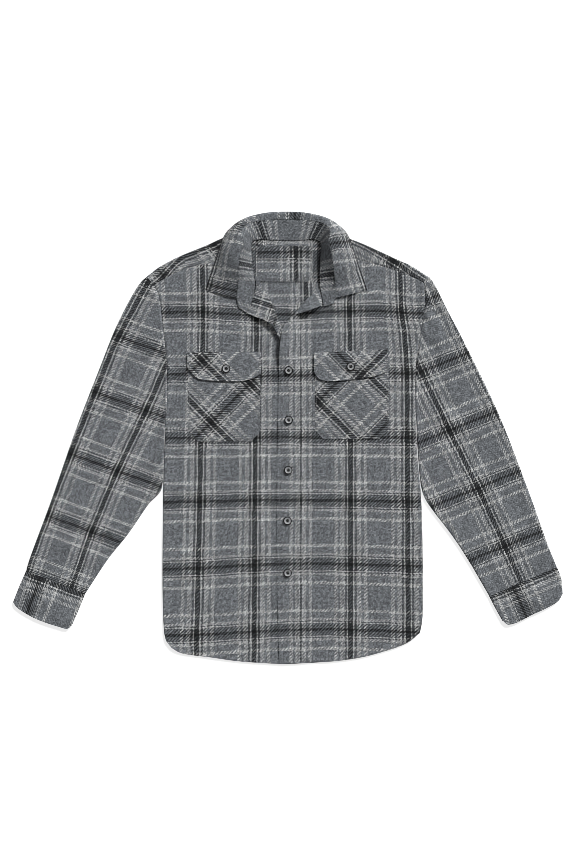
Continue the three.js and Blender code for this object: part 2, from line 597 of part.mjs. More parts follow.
// Yoke: its back part lies on the surface and its fronts fold over the shoulders
function yokeSheet() {
  const frontParts = [];
  const shoulderTops = [];
  for (const side of [rightSide, leftSide]) {
    const shoulder = lineThrough(side.shoulder);
    const columns = frontColumns(shoulder.getLength());
    const crest = pointsAt(shoulder, columns);
    const seam = seamPoints(side.yokeSeam, seamGap / 2);
    const armhole = armholeStations(side).line;
    const downs = crest.map((point, column) => {
      const target = column === 0 ? pointsAt(armhole, [side.yokeEnd])[0] : seam[column];
      return target.clone().sub(point).setZ(0).normalize();
    });
    seam[0] = pointsAt(armhole, [side.yokeEnd - seamGap / 2])[0];
    const turned = (column, distance) => crest[column].clone().addScaledVector(downs[column], distance);
    const rows = [];
    const rollAngles = [-90, -45, 0, 45, 90];
    for (const angle of rollAngles) {
      const turn = THREE.MathUtils.degToRad(angle);
      rows.push(crest.map((_, column) => {
        const point = turned(column, foldRadius * (1 - Math.cos(turn)));
        point.z = foldCentre + foldRadius * Math.sin(turn);
        return point;
      }));
    }
    for (const share of [0.35, 0.7, 1]) {
      rows.push(crest.map((_, column) => {
        const point = turned(column, foldRadius).lerp(seam[column], share);
        const fromShoulder = planDistance(point, crest[column]);
        const fromSide = planDistance(point, seam[0]);
        point.z = bodyTop(point.x, point.y, Math.min(fromShoulder, column === 0 ? 0 : fromSide));
        return point;
      }));
    }
    frontParts.push(rows);
    shoulderTops.push(rows[0]);
  }
  const [rightTop, leftTop] = shoulderTops;
  const neckLine = lineThrough([rightTop[rightTop.length - 1], { x: -52, y: 356.2, z: lowLevel },
    { x: -3, y: 355.9, z: lowLevel }, { x: 46, y: 356.2, z: lowLevel }, leftTop[leftTop.length - 1]]);
  const neck = evenPoints(neckLine, 8);
  neck.forEach((point) => point.setZ(lowLevel));
  const top = [...rightTop, ...neck.slice(1, -1), ...leftTop.slice().reverse()];
  const seam = lineThrough(backSeamRows);
  const seamCorners = pointsAt(seam, across(seam.getLength()));
  const seamPlaces = shares(top).map((share) => betweenPoints(seamCorners, share));
  const raised = moveAlong(seamPlaces, upward, seamGap / 2);
  const edgeOf = (side) => {
    const { line, middle } = armholeStations(side);
    return pointsAt(line, [foldRadius, side.yokeEnd, middle[0] - seamGap / 2]);
  };
  const start = edgeOf(rightSide);
  const end = edgeOf(leftSide);
  start[0] = top[0].clone();
  end[0] = top[top.length - 1].clone();
  raised[0] = start[start.length - 1].clone();
  raised[raised.length - 1] = end[end.length - 1].clone();
  const back = fillEdges(top, raised, start, end);
  back.flat().forEach((point) => point.setZ(lowLevel));
  const [rightFront, leftFront] = frontParts;
  const flipped = rightFront.map((row) => row.slice().reverse());
  return joinSheets([sheetOf(back), sheetOf(flipped), sheetOf(leftFront)]);
}

// A flattened tube: rows run down its length, each row round the upper layer and back under it
function tubeRows(upper, topLevel, lowerLevel) {
  return upper.map((row) => {
    const first = row[0];
    const last = row[row.length - 1];
    const over = row.map((point) => {
      const edge = Math.min(planDistance(point, first), planDistance(point, last));
      const raised = point.clone();
      raised.z = roundedLevel(topLevel(point, edge), edge);
      return raised;
    });
    const under = row.slice(1, -1).reverse().map((point) => {
      const edge = Math.min(planDistance(point, first), planDistance(point, last));
      const lowered = point.clone();
      lowered.z = roundedLevel(lowerLevel(point), edge);
      return lowered;
    });
    return [...over, ...under];
  });
}

function cuffLift(side, point) {
  const distance = planDistance(point, side.cuffButtonAt);
  return 1 - THREE.MathUtils.smoothstep(distance, cuffLiftFrom, cuffLiftTo);
}

function sleeveRows(side) {
  const { line, length, middle } = armholeStations(side);
  const ends = foldSteps.map((step) => length - step).reverse();
  const stations = [...foldSteps, side.yokeEnd, ...middle, ...ends];
  const top = pointsAt(line, stations);
  top.forEach((point, index) => {
    const underarm = THREE.MathUtils.smoothstep(stations[index], length - 80, length);
    point.x += side.out * THREE.MathUtils.lerp(armholeGap, underarmGap, underarm);
  });
  top[0].y += seamGap;
  const outer = lineThrough(side.sleeveOuter);
  const inner = lineThrough(side.sleeveInner);
  // the rows turn from along the armhole to across the sleeve within the underarm
  const outerShares = [0, 0.05, 0.11, 0.18, 0.27, 0.37, 0.47, 0.57, 0.67, 0.77, 0.87, 0.94, 1];
  const innerShares = [0, 0.015, 0.035, 0.07, 0.12, 0.19, 0.28, 0.4, 0.53, 0.67, 0.81, 0.91, 1];
  const start = outerShares.map((share) => outer.getPointAt(share));
  const end = innerShares.map((share) => inner.getPointAt(share));
  start[0] = top[0].clone();
  top[top.length - 1] = end[0].clone();
  const last = outerShares.length - 1;
  const seamWidth = planDistance(start[last], end[last]);
  const bottom = cuffStations(side, stations, length, seamWidth)
    .map((at) => start[last].clone().lerp(end[last], at / seamWidth));
  const upper = fillEdges(top, bottom, start, end);
  squareFold(upper);
  return tubeRowsWithArmhole(upper, side);
}

// The underarm fold's columns stand square to its edge, whichever way the row runs
function squareFold(rows) {
  const last = rows[0].length - 1;
  rows.slice(1, -1).forEach((row, index) => {
    const along = rows[index + 2][last].clone().sub(rows[index][last]).normalize();
    const inward = new THREE.Vector3(along.y, -along.x, 0);
    if (inward.dot(row[last - foldSteps.length].clone().sub(row[last])) < 0) inward.negate();
    foldSteps.forEach((step, column) => {
      row[last - column] = row[last].clone().addScaledVector(inward, step);
    });
  });
}

function tubeRowsWithArmhole(upper, side) {
  const reach = upper.map((row) => row.map((point, column) => planDistance(point, upper[0][column])));
  return upper.map((row, index) => {
    const level = (point, edge) => {
      const column = row.indexOf(point);
      const lift = cuffLift(side, point) * sleeveTopLift;
      return sleeveTop(point.x, point.y, edge, reach[index][column]) + lift;
    };
    return tubeRows([row], level, (point) => lowLevel + cuffLift(side, point) * underLift)[0];
  });
}

function cuffStations(side, stations, length, width) {
  return stations.map((at) => {
    if (at <= foldRadius) return at;
    if (length - at <= foldRadius + 0.01) return width - (length - at);
    return (at / length) * width;
  });
}

function cuffSheet(side) {
  const { length, middle } = armholeStations(side);
  const ends = foldSteps.map((step) => length - step).reverse();
  const stations = [...foldSteps, side.yokeEnd, ...middle, ...ends];
  const downShares = [0, 0.3, 0.55, 0.8, 1];
  const outer = lineThrough(side.cuffOuter);
  const inner = lineThrough(side.cuffInner);
  const start = downShares.map((share) => outer.getPointAt(share));
  const end = downShares.map((share) => inner.getPointAt(share));
  const down = start[4].clone().sub(start[0]).add(end[4].clone().sub(end[0])).normalize();
  start[0].addScaledVector(down, seamGap);
  end[0].addScaledVector(down, seamGap);
  const seamWidth = planDistance(start[0], end[0]);
  const top = cuffStations(side, stations, length, seamWidth)
    .map((at) => start[0].clone().lerp(end[0], at / seamWidth));
  const endLine = lineThrough(side.cuffEnd);
  const bottom = pointsAt(endLine, cuffStations(side, stations, length, endLine.getLength()));
  const upper = fillEdges(top, bottom, start, end);
  const topLevel = (point) => cuffTopLevel + cuffLift(side, point) * cuffTopLift;
  const lowerLevel = (point) => cuffWall / 2 + cuffLift(side, point) * underLift;
  return sheetOf(tubeRows(upper, topLevel, lowerLevel), true);
}

// Bands: a strip of rows, then the lapel that its top turns back into
function bandSheet(rows, lapel, lapelSteps) {
  const strip = rows.map((row) => {
    const free = new THREE.Vector3(row.freeX, row.freeY, row.freeZ);
    const seam = new THREE.Vector3(row.seamX, row.seamY, row.seamZ);
    return [0, 0.25, 0.5, 0.75, 1].map((share) => free.clone().lerp(seam, share));
  });
  const neck = evenPoints(lineThrough(lapel.neck), 4);
  const free = evenPoints(lineThrough(lapel.free), lapelSteps);
  const fold = evenPoints(lineThrough(lapel.fold), lapelSteps);
  const tip = strip[strip.length - 1].map((point) => point.clone());
  const startsFree = planDistance(tip[0], free[0]) < planDistance(tip[0], fold[0]);
  if (!startsFree) tip.reverse();
  const turned = fillEdges(tip, neck, free, fold);
  const joined = turned[0].map((point) => point.clone());
  if (!startsFree) joined.reverse();
  strip[strip.length - 1] = joined;
  const lapelRows = startsFree ? turned : turned.map((row) => row.slice().reverse());
  return joinSheets([sheetOf(strip), sheetOf(lapelRows)]);
}

function mirrored(row, sideOut) {
  const at = {};
  for (const [key, value] of Object.entries(row)) {
    at[key] = key.endsWith('Out') ? collarMiddle + sideOut * value : value;
  }
  return at;
}

function collarStations(tabRows) {
  return {
    right: [...tabRows.right, ...standRows.slice(0, -1)].map((row) => mirrored(row, -1)),
    left: [...tabRows.left, ...standRows.slice(0, -1)].map((row) => mirrored(row, 1)),
    middle: mirrored(standRows[standRows.length - 1], 1),
  };
}

function standSheet() {
  const { right, left, middle } = collarStations({ right: rightTabRows, left: leftTabRows });
  const stations = [...right, middle, ...left.reverse()];
  const seam = lineThrough(stations.map((row) => ({ x: row.seamOut, y: row.seamY, z: row.seamZ })));
  const fold = lineThrough(stations.map((row) => ({ x: row.foldOut, y: row.foldY, z: row.foldZ })));
  const steps = 36;
  const rows = [0, 0.5, 1].map((share) => Array.from({ length: steps + 1 }, (_, step) => {
    const low = seam.getPoint(step / steps);
    const high = fold.getPoint(step / steps);
    return low.lerp(high, share);
  }));
  return sheetOf(rows);
}

function leafSheet() {
  const half = leafRows.slice(0, -1);
  const stations = [...half.map((row) => mirrored(row, -1)), mirrored(leafRows[leafRows.length - 1], 1),
    ...half.map((row) => mirrored(row, 1)).reverse()];
  const part = (name) => lineThrough(stations.map((row) => (
    { x: row[`${name}Out`], y: row[`${name}Y`], z: row[`${name}Z`] })));
  const lines = ['fold', 'crest', 'turn', 'edge'].map(part);
  const steps = 32;
  const columns = Array.from({ length: steps + 1 }, (_, step) => {
    const section = new THREE.CatmullRomCurve3(lines.map((line) => line.getPoint(step / steps)));
    const points = evenPoints(section, 6);
    points.forEach((point) => point.setZ(Math.max(point.z, lowLevel)));
    return points;
  });
  return sheetOf(columns);
}

// Pieces laid on a front: points on the front moved up by whole cloth layers
function onFront(x, y, layers) {
  return new THREE.Vector3(x, y, bodyTop(x, y, 100) + layers * layerStep);
}

function pocketSheet(rows) {
  const start = lineOf(rows, 'from');
  const end = lineOf(rows, 'to');
  const heights = [0, 0.25, 0.5, 0.75, 0.885, 1];
  return sheetOf(heights.map((share) => {
    const a = start.getPoint(share);
    const b = end.getPoint(share);
    return [0, 0.25, 0.5, 0.75, 1].map((u) => onFront(a.x + (b.x - a.x) * u, a.y, 1));
  }));
}

function lineOf(rows, key) {
  const path = new THREE.CurvePath();
  for (let i = 0; i + 1 < rows.length; i += 1) {
    const a = new THREE.Vector3(rows[i][key], rows[i].y, 0);
    const b = new THREE.Vector3(rows[i + 1][key], rows[i + 1].y, 0);
    path.add(new THREE.LineCurve3(a, b));
  }
  return path;
}

function flapSheet({ top, bottom }) {
  const columns = 8;
  const upper = evenPoints(lineThrough(top), columns);
  const lower = evenPoints(lineThrough(bottom), columns);
  const overPocket = [0, 0.18, 0.5, 1];
  return sheetOf(overPocket.map((share, index) => upper.map((point, column) => {
    const at = point.clone().lerp(lower[column], share);
    return onFront(at.x, at.y, index === 0 ? 1 : 2);
  })));
}

function patchSheet() {
  return sheetOf(patchRows.map((row) => [0, 1 / 3, 2 / 3, 1].map((share) => (
    new THREE.Vector3(row.from + (row.to - row.from) * share, row.y, lowLevel + layerStep)))));
}

// A four-hole button: a dished disc with a raised rim
function toManifold(geometry) {
  geometry.deleteAttribute('normal');
  geometry.deleteAttribute('uv');
  const merged = mergeVertices(geometry, 1e-4);
  const index = merged.index.array;
  const kept = [];
  for (let i = 0; i < index.length; i += 3) {
    const [a, b, c] = [index[i], index[i + 1], index[i + 2]];
    if (a !== b && b !== c && a !== c) kept.push(a, b, c);
  }
  const vertProperties = new Float32Array(merged.attributes.position.array);
  return new wasm.Manifold(new wasm.Mesh({ numProp: 3, vertProperties, triVerts: new Uint32Array(kept) }));
}

function buttonGeometry({ diameter, thickness }) {
  const radius = diameter / 2;
  const rim = radius * 0.26;
  const profile = [
    [0, 0], [radius * 0.86, 0], [radius, thickness * 0.28], [radius, thickness * 0.75],
    [radius - rim * 0.35, thickness], [radius - rim, thickness], [radius - rim * 1.5, thickness * 0.7],
    [0, thickness * 0.66],
  ].map(([r, z]) => new THREE.Vector2(r, z));
  const disc = new THREE.LatheGeometry(profile, 16);
  disc.rotateX(Math.PI / 2);
  let solid = toManifold(disc);
  const holeOut = radius * 0.21;
  for (const [x, y] of [[1, 1], [1, -1], [-1, 1], [-1, -1]]) {
    const hole = new THREE.CylinderGeometry(radius * 0.11, radius * 0.11, thickness * 2, 6);
    hole.rotateX(Math.PI / 2);
    hole.translate(x * holeOut, y * holeOut, thickness / 2);
    solid = solid.subtract(toManifold(hole));
  }
  const mesh = solid.getMesh();
  return closedGeometry(Array.from(mesh.vertProperties), Array.from(mesh.triVerts));
}

function addButton(name, size, x, y, z) {
  const button = addPiece(name, buttonGeometry(size), buttonGrey);
  button.position.set(x, y, z);
}

// The shirt
addPiece('back_panel', thicken(sheetOf(backPanel()), clothWall), innerGrey);
addPiece('yoke', thicken(yokeSheet(), clothWall), plaidGrey);
addPiece('neck_patch', thicken(patchSheet(), clothWall), innerGrey);
addPiece('front_right', thicken(sheetOf(frontPanel(rightSide, rightOpening)), clothWall), plaidGrey);
addPiece('front_left', thicken(sheetOf(frontPanel(leftSide, leftOpening)), clothWall), plaidGrey);
addPiece('placket', thicken(bandSheet(placketRows, leftLapel, 5), clothWall), plaidGrey);
addPiece('button_band', thicken(bandSheet(buttonBandRows, rightLapel, 8), clothWall), plaidGrey);
addPiece('collar_stand', thicken(standSheet(), clothWall), plaidGrey);
addPiece('collar_leaf', thicken(leafSheet(), clothWall), plaidGrey);
for (const [name, side] of [['right', rightSide], ['left', leftSide]]) {
  addPiece(`sleeve_${name}`, thicken(sheetOf(sleeveRows(side), true), clothWall), plaidGrey);
  addPiece(`cuff_${name}`, thicken(cuffSheet(side), cuffWall), plaidGrey);
  addPiece(`pocket_${name}`, thicken(pocketSheet(pocketRows[name]), clothWall), plaidGrey);
  addPiece(`flap_${name}`, thicken(flapSheet(flapEdges[name]), clothWall), plaidGrey);
  const at = flapButtonAt[name];
  const flapTop = onFront(at.x, at.y, 2).z + clothWall / 2 + seamGap;
  addButton(`button_flap_${name}`, flapButton, at.x, at.y, flapTop);
  addButton(`button_cuff_${name}`, cuffButton, side.cuffButtonAt.x, side.cuffButtonAt.y, 0);
}
for (let number = 1; number <= 5; number += 1) {
  const y = topButtonY - (number - 1) * buttonSpacing;
  addButton(`button_front_${number}`, frontButton, frontButtonX, y, placketLevel + clothWall / 2 + seamGap);
}

export default shirt;
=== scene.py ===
import math
import random

import bpy
import numpy as np
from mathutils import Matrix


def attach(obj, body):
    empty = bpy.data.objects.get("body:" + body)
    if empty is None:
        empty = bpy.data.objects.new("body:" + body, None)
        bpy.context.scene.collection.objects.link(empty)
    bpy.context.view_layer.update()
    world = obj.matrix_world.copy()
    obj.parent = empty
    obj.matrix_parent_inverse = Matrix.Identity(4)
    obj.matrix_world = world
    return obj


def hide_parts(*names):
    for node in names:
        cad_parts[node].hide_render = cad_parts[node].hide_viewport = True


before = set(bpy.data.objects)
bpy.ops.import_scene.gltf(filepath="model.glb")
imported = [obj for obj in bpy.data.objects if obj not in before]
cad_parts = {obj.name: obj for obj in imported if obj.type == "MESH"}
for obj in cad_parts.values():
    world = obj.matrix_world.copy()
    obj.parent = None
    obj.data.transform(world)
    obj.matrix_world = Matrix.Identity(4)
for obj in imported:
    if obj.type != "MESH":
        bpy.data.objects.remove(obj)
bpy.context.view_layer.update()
bpy.ops.object.select_all(action="DESELECT")
print("frame loaded")

# Sizes are in millimetres up to the mesh, which is in metres.
# X runs towards the wearer's left sleeve, Y from hem to collar, Z up off the floor.
mm = 0.001

cloth = {
    "wall": 1.2,
    "cuffWall": 1.8,
    "back": 0.6,
    "front": 2.4,
    "sleeve": 3.2,
    "foldRadius": 1.9,
    "edgeRise": 1.9,
    "edgeSpread": 17,
    "layer": 1.6,
    "placket": 4.0,
    "placketRise": 0.25,
    "bandSeamX": 22.8,
    "backArmhole": 45,
    "hemCurl": (26, 44),
    "creases": 1.7,
    "step": 4.2,
}

plaid = {
    "warpRepeat": 98.4,
    "weftRepeat": 115.6,
    "yarn": 1.46,
}

# Each side's outlines as the shirt lies, outward end first or top first
rightSide = {
    "out": -1,
    "shoulder": [(-254.2, 289.5), (-231.8, 306.6), (-197.3, 325), (-144.5, 346.8), (-117, 359.4),
                 (-93.4, 367), (-69.1, 363.5)],
    "yokeSeam": [(-241, 275.1), (-216.9, 289.5), (-181.3, 305.4), (-136.6, 316.5), (-68.8, 339.9)],
    "armhole": [(-254.2, 289.5), (-241, 275.1), (-231.1, 248.1), (-226.6, 210.3), (-217.6, 125.7),
                (-218.5, 86.1), (-220.3, 46.5)],
    "bodySide": [(-220.3, 46.5), (-222.1, -21.9), (-224.1, -95.7), (-224.1, -322), (-219.4, -364.6),
                 (-209, -378)],
    "hem": [(-209, -378), (-193.5, -387.1), (-135.7, -395.7), (-87.5, -402.4), (-14.8, -407.2)],
    "opening": [(-68.8, 339.9), (-66.4, 320), (-64.2, 300.5), (-47.7, 273.7), (-30.4, 243.6),
                (-18.5, 216.1), (-12.6, 195), (-15.2, 160), (-15.2, 40), (-15.2, -150), (-14.8, -407.2)],
    "yokeEnd": 19.5,
    "sleeveOuter": [(-254.2, 289.5), (-266.2, 277.8), (-305.8, 205.8), (-340.2, 120.3), (-380.5, 16.5),
                    (-426.4, -115.5), (-466.6, -224.6), (-470.5, -239.7)],
    "sleeveInner": [(-221.6, 46.5), (-223.6, -21.9), (-226.2, -82), (-231, -98), (-248.4, -115.5),
                    (-288.5, -173.1), (-323.1, -216.1), (-366.1, -281.1)],
    "cuffOuter": [(-470.5, -239.7), (-482, -266), (-493.9, -296)],
    "cuffInner": [(-366.1, -281.1), (-377, -308), (-389.6, -337)],
    "cuffEnd": [(-493.9, -296), (-489, -304), (-455.2, -325), (-414.9, -339.4), (-396, -343.4),
                (-389.6, -337)],
    "cuffButtonAt": (-446, -286),
    "cuffCross": (-446, -254),
    "cuffTurn": 68.7,
}
leftSide = {
    "out": 1,
    "shoulder": [(248.4, 291.9), (220.1, 310), (197.1, 320.3), (133.9, 349.1), (109.8, 358.3),
                 (87.2, 367), (62.9, 363.5)],
    "yokeSeam": [(245, 278.7), (213.1, 295.2), (178.7, 306.6), (122.6, 322.6), (62.6, 341.7)],
    "armhole": [(248.4, 291.9), (245, 278.7), (247.7, 246.3), (242.6, 212.1), (231.1, 136.5),
                (229.3, 86.1), (229.7, 46.5)],
    "bodySide": [(229.7, 46.5), (233.3, -39.9), (239.6, -110.1), (242.6, -261.3), (241.6, -330),
                 (237.5, -351)],
    "hem": [(237.5, -351), (214.4, -369.3), (153.5, -390.2), (115, -398.3), (73.3, -403.1), (22, -404.8)],
    "opening": [(62.6, 341.7), (59.2, 316), (57.2, 266.8), (45.2, 258.8), (27, 243), (23.4, 229),
                (22.6, 205), (22.4, 160), (22.4, 40), (22.2, -150), (22, -404.8)],
    "yokeEnd": 13.6,
    "sleeveOuter": [(248.4, 291.9), (256, 287), (288.5, 226), (322.9, 160), (380.3, 39.3),
                    (437.8, -109.9), (466.4, -190.2), (483.7, -233.2)],
    "sleeveInner": [(231, 46.5), (235.4, -39.9), (241.4, -92), (248.4, -111), (265.5, -135.6),
                    (294.3, -173.1), (322.9, -216.1), (363.1, -284.7)],
    "cuffOuter": [(483.7, -233.2), (491.5, -254), (493.9, -281)],
    "cuffInner": [(363.1, -284.7), (374, -306), (387, -329)],
    "cuffEnd": [(493.9, -281), (486, -294), (437.8, -319.4), (409.1, -333.6), (395, -336), (387, -329)],
    "cuffButtonAt": (444, -284),
    "cuffCross": (406, -268.5),
    "cuffTurn": 113.1,
}
sides = {"right": rightSide, "left": leftSide}


# Lines and grids

def smoothLine(corners):
    given = np.array(corners, float)
    points = np.vstack([2 * given[0] - given[1], given, 2 * given[-1] - given[-2]])
    steps = np.linspace(0, 1, 20, endpoint=False)[:, None]
    parts = []
    for i in range(1, len(points) - 2):
        a, b, c, d = points[i - 1:i + 3]
        before, along, after = (max(np.linalg.norm(q - p), 1e-6) ** 0.5 for p, q in ((a, b), (b, c), (c, d)))
        leave = ((b - a) / before - (c - a) / (before + along) + (c - b) / along) * along
        arrive = ((c - b) / along - (d - b) / (along + after) + (d - c) / after) * along
        parts.append(b + leave * steps + (3 * (c - b) - 2 * leave - arrive) * steps ** 2
                     + (2 * (b - c) + leave + arrive) * steps ** 3)
    parts.append(points[-2:-1])
    return np.vstack(parts)


def distancesOn(line, axes=2):
    return np.concatenate([[0], np.cumsum(np.linalg.norm(np.diff(line[:, :axes], axis=0), axis=1))])


def lengthOf(line):
    return distancesOn(line)[-1]


def readAt(places, reach, line):
    return np.stack([np.interp(places, reach, line[:, k]) for k in range(line.shape[1])], axis=1)


def alongLine(line, distances):
    return readAt(distances, distancesOn(line), line)


def cutLine(line, start, end):
    reach = distancesOn(line)
    inside = line[(reach > start + 0.01) & (reach < end - 0.01)]
    return np.vstack([alongLine(line, [start]), inside, alongLine(line, [end])])


def spread(length, count, fine=(0, 0.7, 1.4, 2.2, 3.4, 5, 7.5)):
    # fine steps at both edges, even ones between
    even = np.linspace(fine[-1], length - fine[-1], count)[1:-1]
    return np.concatenate([fine, even, length - np.array(fine[::-1])])


def spreadAlong(line, count, *fine):
    return alongLine(line, spread(lengthOf(line), count, *fine))


def shareOf(points):
    reach = distancesOn(points)
    return reach / reach[-1]


def fillEdges(top, bottom, start, end):
    # top and bottom run one way, start and end run down
    v = ((shareOf(start) + shareOf(end)) / 2)[:, None]
    u = shareOf(top)[None, :] * (1 - v) + shareOf(bottom)[None, :] * v
    u, v = u[..., None], np.broadcast_to(v, u.shape)[..., None]
    grid = top[None] * (1 - v) + bottom[None] * v + start[:, None] * (1 - u) + end[:, None] * u
    grid -= (1 - u) * (1 - v) * top[0] + u * (1 - v) * top[-1] + (1 - u) * v * bottom[0] + u * v * bottom[-1]
    grid[0], grid[-1] = top, bottom
    grid[1:-1, 0], grid[1:-1, -1] = start[1:-1], end[1:-1]
    return grid


def planOf(grid):
    return grid[..., 0], grid[..., 1]


def bell(distance, width):
    return np.exp(-(distance / width) ** 2)


def ridge(x, y, folds):
    rise = np.zeros_like(x)
    for foldX, foldY, turn, length, width, height, bend in folds:
        angle = math.radians(turn)
        along = (x - foldX) * math.cos(angle) + (y - foldY) * math.sin(angle)
        across = (y - foldY) * math.cos(angle) - (x - foldX) * math.sin(angle) - bend * (along / length) ** 2
        rise += cloth["creases"] * height * np.exp(-(along / length) ** 2 - (across / width) ** 2)
    return rise


def smoothStep(value, low, high):
    t = np.clip((value - low) / (high - low), 0, 1)
    return t * t * (3 - 2 * t)


def planGap(grid, line):
    return np.linalg.norm(grid[..., :2] - line[..., :2], axis=-1)


def fromEnds(plan):
    return np.minimum(planGap(plan, plan[:, :1]), planGap(plan, plan[:, -1:]))


def roundedLevel(level, distance):
    # the level falls to the middle of the fold over the fold's radius
    radius = cloth["foldRadius"]
    middle = cloth["back"] + radius
    inner = np.clip(1 - distance / radius, 0, 1)
    return middle + (level - middle) * np.sqrt(1 - inner ** 2)


def turnedSide(level, fromSide, fromHem):
    # the body's sides are folds, but not where the hem curves up to them
    return level + (roundedLevel(level, fromSide) - level) * smoothStep(fromHem, *cloth["hemCurl"])


def sideLineFrom(side, start):
    # the armhole from some way down it, then the body's side
    armhole = smoothLine(side["armhole"])
    return np.vstack([cutLine(armhole, start, lengthOf(armhole)), smoothLine(side["bodySide"])[1:]])


# Ridges and grooves beside seams and edges: rise, distance in from the edge, half width
seamShapes = {
    "armhole": [(0.7, 4.5, 2.6), (-0.8, 0, 1.5)],
    "frontTop": [(-0.45, 0, 1.3), (0.35, 4.5, 3)],
    "hem": [(0.55, 3, 3.2), (-0.3, 8.5, 1.2)],
    "yokeFoot": [(-0.45, 0, 1.3), (0.6, 4, 3)],
    "cuffSeam": [(-0.7, 0, 1.5), (-0.3, 5.5, 1.2)],
    "cuffEnd": [(-0.3, 5.5, 1.2)],
    "bandFree": [(-0.35, 4.5, 1.3)],
    "bandSeam": [(-0.5, 0, 1.2), (-0.35, 4.5, 1.3)],
    "pocket": [(-0.3, 2.2, 0.9)],
    "flapFoot": [(0.8, 0, 7), (-0.3, 5.5, 1.0)],
}


def besideSeam(name, distance):
    return sum(rise * bell(distance - at, width) for rise, at, width in seamShapes[name])


def armholeSeam(fromSeam, y):
    # the allowance is raised beside a groove, with puckers that fade into the cloth and end at the underarm
    puckers = np.sin(y * 0.3 + 2.2 * np.sin(y * 0.083)) * bell(fromSeam - 5, 6)
    return (besideSeam("armhole", fromSeam) + 0.45 * puckers) * smoothStep(y, 40, 70)


# Creases of the laid cloth: x, y, degrees from X, half length, half width, rise, bend of the far ends
bodyFolds = [
    (224, 250, 80, 34, 7, 1.3, 0),
    (206, 196, 62, 40, 10, 1.0, 8),
    (-214, 240, 78, 40, 8, 1.1, 0),
    (-196, 252, 35, 44, 13, 1.2, -7),
    (-150, 268, 12, 60, 16, 0.9, 0),
    (150, 262, 168, 60, 17, 1.0, 6),
    (-190, -60, 86, 90, 15, 1.3, 9),
    (198, -150, 94, 110, 16, 1.2, -8),
    (-120, -330, 78, 60, 17, 1.2, 0),
    (108, -300, 100, 70, 18, 1.1, 0),
    (-60, -190, 84, 120, 22, 0.9, 10),
    (66, -110, 96, 90, 22, 0.8, 0),
    (-140, -210, 66, 80, 26, 0.9, 0),
    (160, -230, 112, 80, 24, 0.8, 0),
]


def frontHeight(x, y, edge=200.0):
    calm = 1 - bell(edge, 12)
    lift = cloth["edgeRise"] * bell(edge, cloth["edgeSpread"])
    return cloth["front"] + lift + ridge(x, y, bodyFolds) * calm


# Cloth pattern coordinates: how far a point lies across the warp and along it, in millimetres

weftLines = {
    "x": (-224.8, -158.2, -86.2, -59.2, 3.8, 75.8, 165.8, 219.8),
    "y": [
        (341.6, 341.9, 337.1, 335.9, 338.5, 341.9, 344.7, 339.8),
        (225.6, 226.9, 221.1, 219.9, 222.9, 226.9, 228.7, 223.8),
        (114.6, 114, 111.3, 110.6, 112.1, 113.1, 116.7, 115.7),
        (-0.3, -0.3, 0.1, 0.8, 1.2, 0.8, 1.2, 0.4),
        (-116.4, -114.6, -113, -112.4, -112.4, -112.4, -114, -115.1),
        (-236.8, -235.2, -230.3, -228.9, -226.9, -226.9, -229.2, -231),
        (-356, -354.9, -350.2, -348.7, -345.5, -344, -347.3, -349.8),
        (-476, -475, -470, -468, -465, -463, -466, -469),
    ],
}
warpLines = {
    "right": {"inner": [(185.1, -56.5), (-9.3, -59), (-354.9, -60.7)],
              "outer": [(305, -154), (212.1, -152.5), (-9.3, -157.1), (-113.7, -158.8), (-234.3, -161.1),
                        (-354.9, -164.2)]},
    "left": {"inner": [(250, 111.1), (100, 112.3), (-113, 112.7)],
             "outer": [(250, 202.7), (163.5, 211.9), (115, 214.4), (-113, 215.3), (-354, 217)]},
}


def onTable(rows, y):
    table = np.array(sorted(rows))
    return np.interp(y, table[:, 0], table[:, 1])


def weftPlace(x, y):
    lines = [np.interp(x, weftLines["x"], row) for row in weftLines["y"]]
    place = np.zeros_like(x)
    for k in range(len(lines) - 1):
        share = (lines[k] - y) / (lines[k] - lines[k + 1])
        inside = (share >= 0) & (share < 1) if k else share < 1
        place = np.where(inside, (k + share) * -plaid["weftRepeat"], place)
    return place


def frontCloth(side, x, y):
    inner = onTable(warpLines[side]["inner"], y)
    outer = onTable(warpLines[side]["outer"], y)
    out = sides[side]["out"]
    beyond = (x - inner) * out > 0
    scale = np.where(beyond, plaid["warpRepeat"] / np.abs(outer - inner), 1)
    return np.stack([(x - inner) * scale, weftPlace(x, y)], axis=-1)


def straightCloth(grid, cross):
    # the grain runs along X and Y, and a dark warp and a black weft cross at a point
    return grid[..., :2] - cross


def turnedCloth(grid, cross, turn):
    angle = math.radians(turn)
    x, y = planOf(straightCloth(grid, cross))
    return np.stack([x * math.cos(angle) + y * math.sin(angle), y * math.cos(angle) - x * math.sin(angle)], axis=-1)


# Meshes

def selectOnly(piece):
    bpy.ops.object.select_all(action="DESELECT")
    piece.select_set(True)
    bpy.context.view_layer.objects.active = piece


def meshPiece(name, vertices, faces):
    mesh = bpy.data.meshes.new(name)
    mesh.from_pydata(vertices, [], faces)
    piece = bpy.data.objects.new(name, mesh)
    bpy.context.scene.collection.objects.link(piece)
    selectOnly(piece)
    return piece


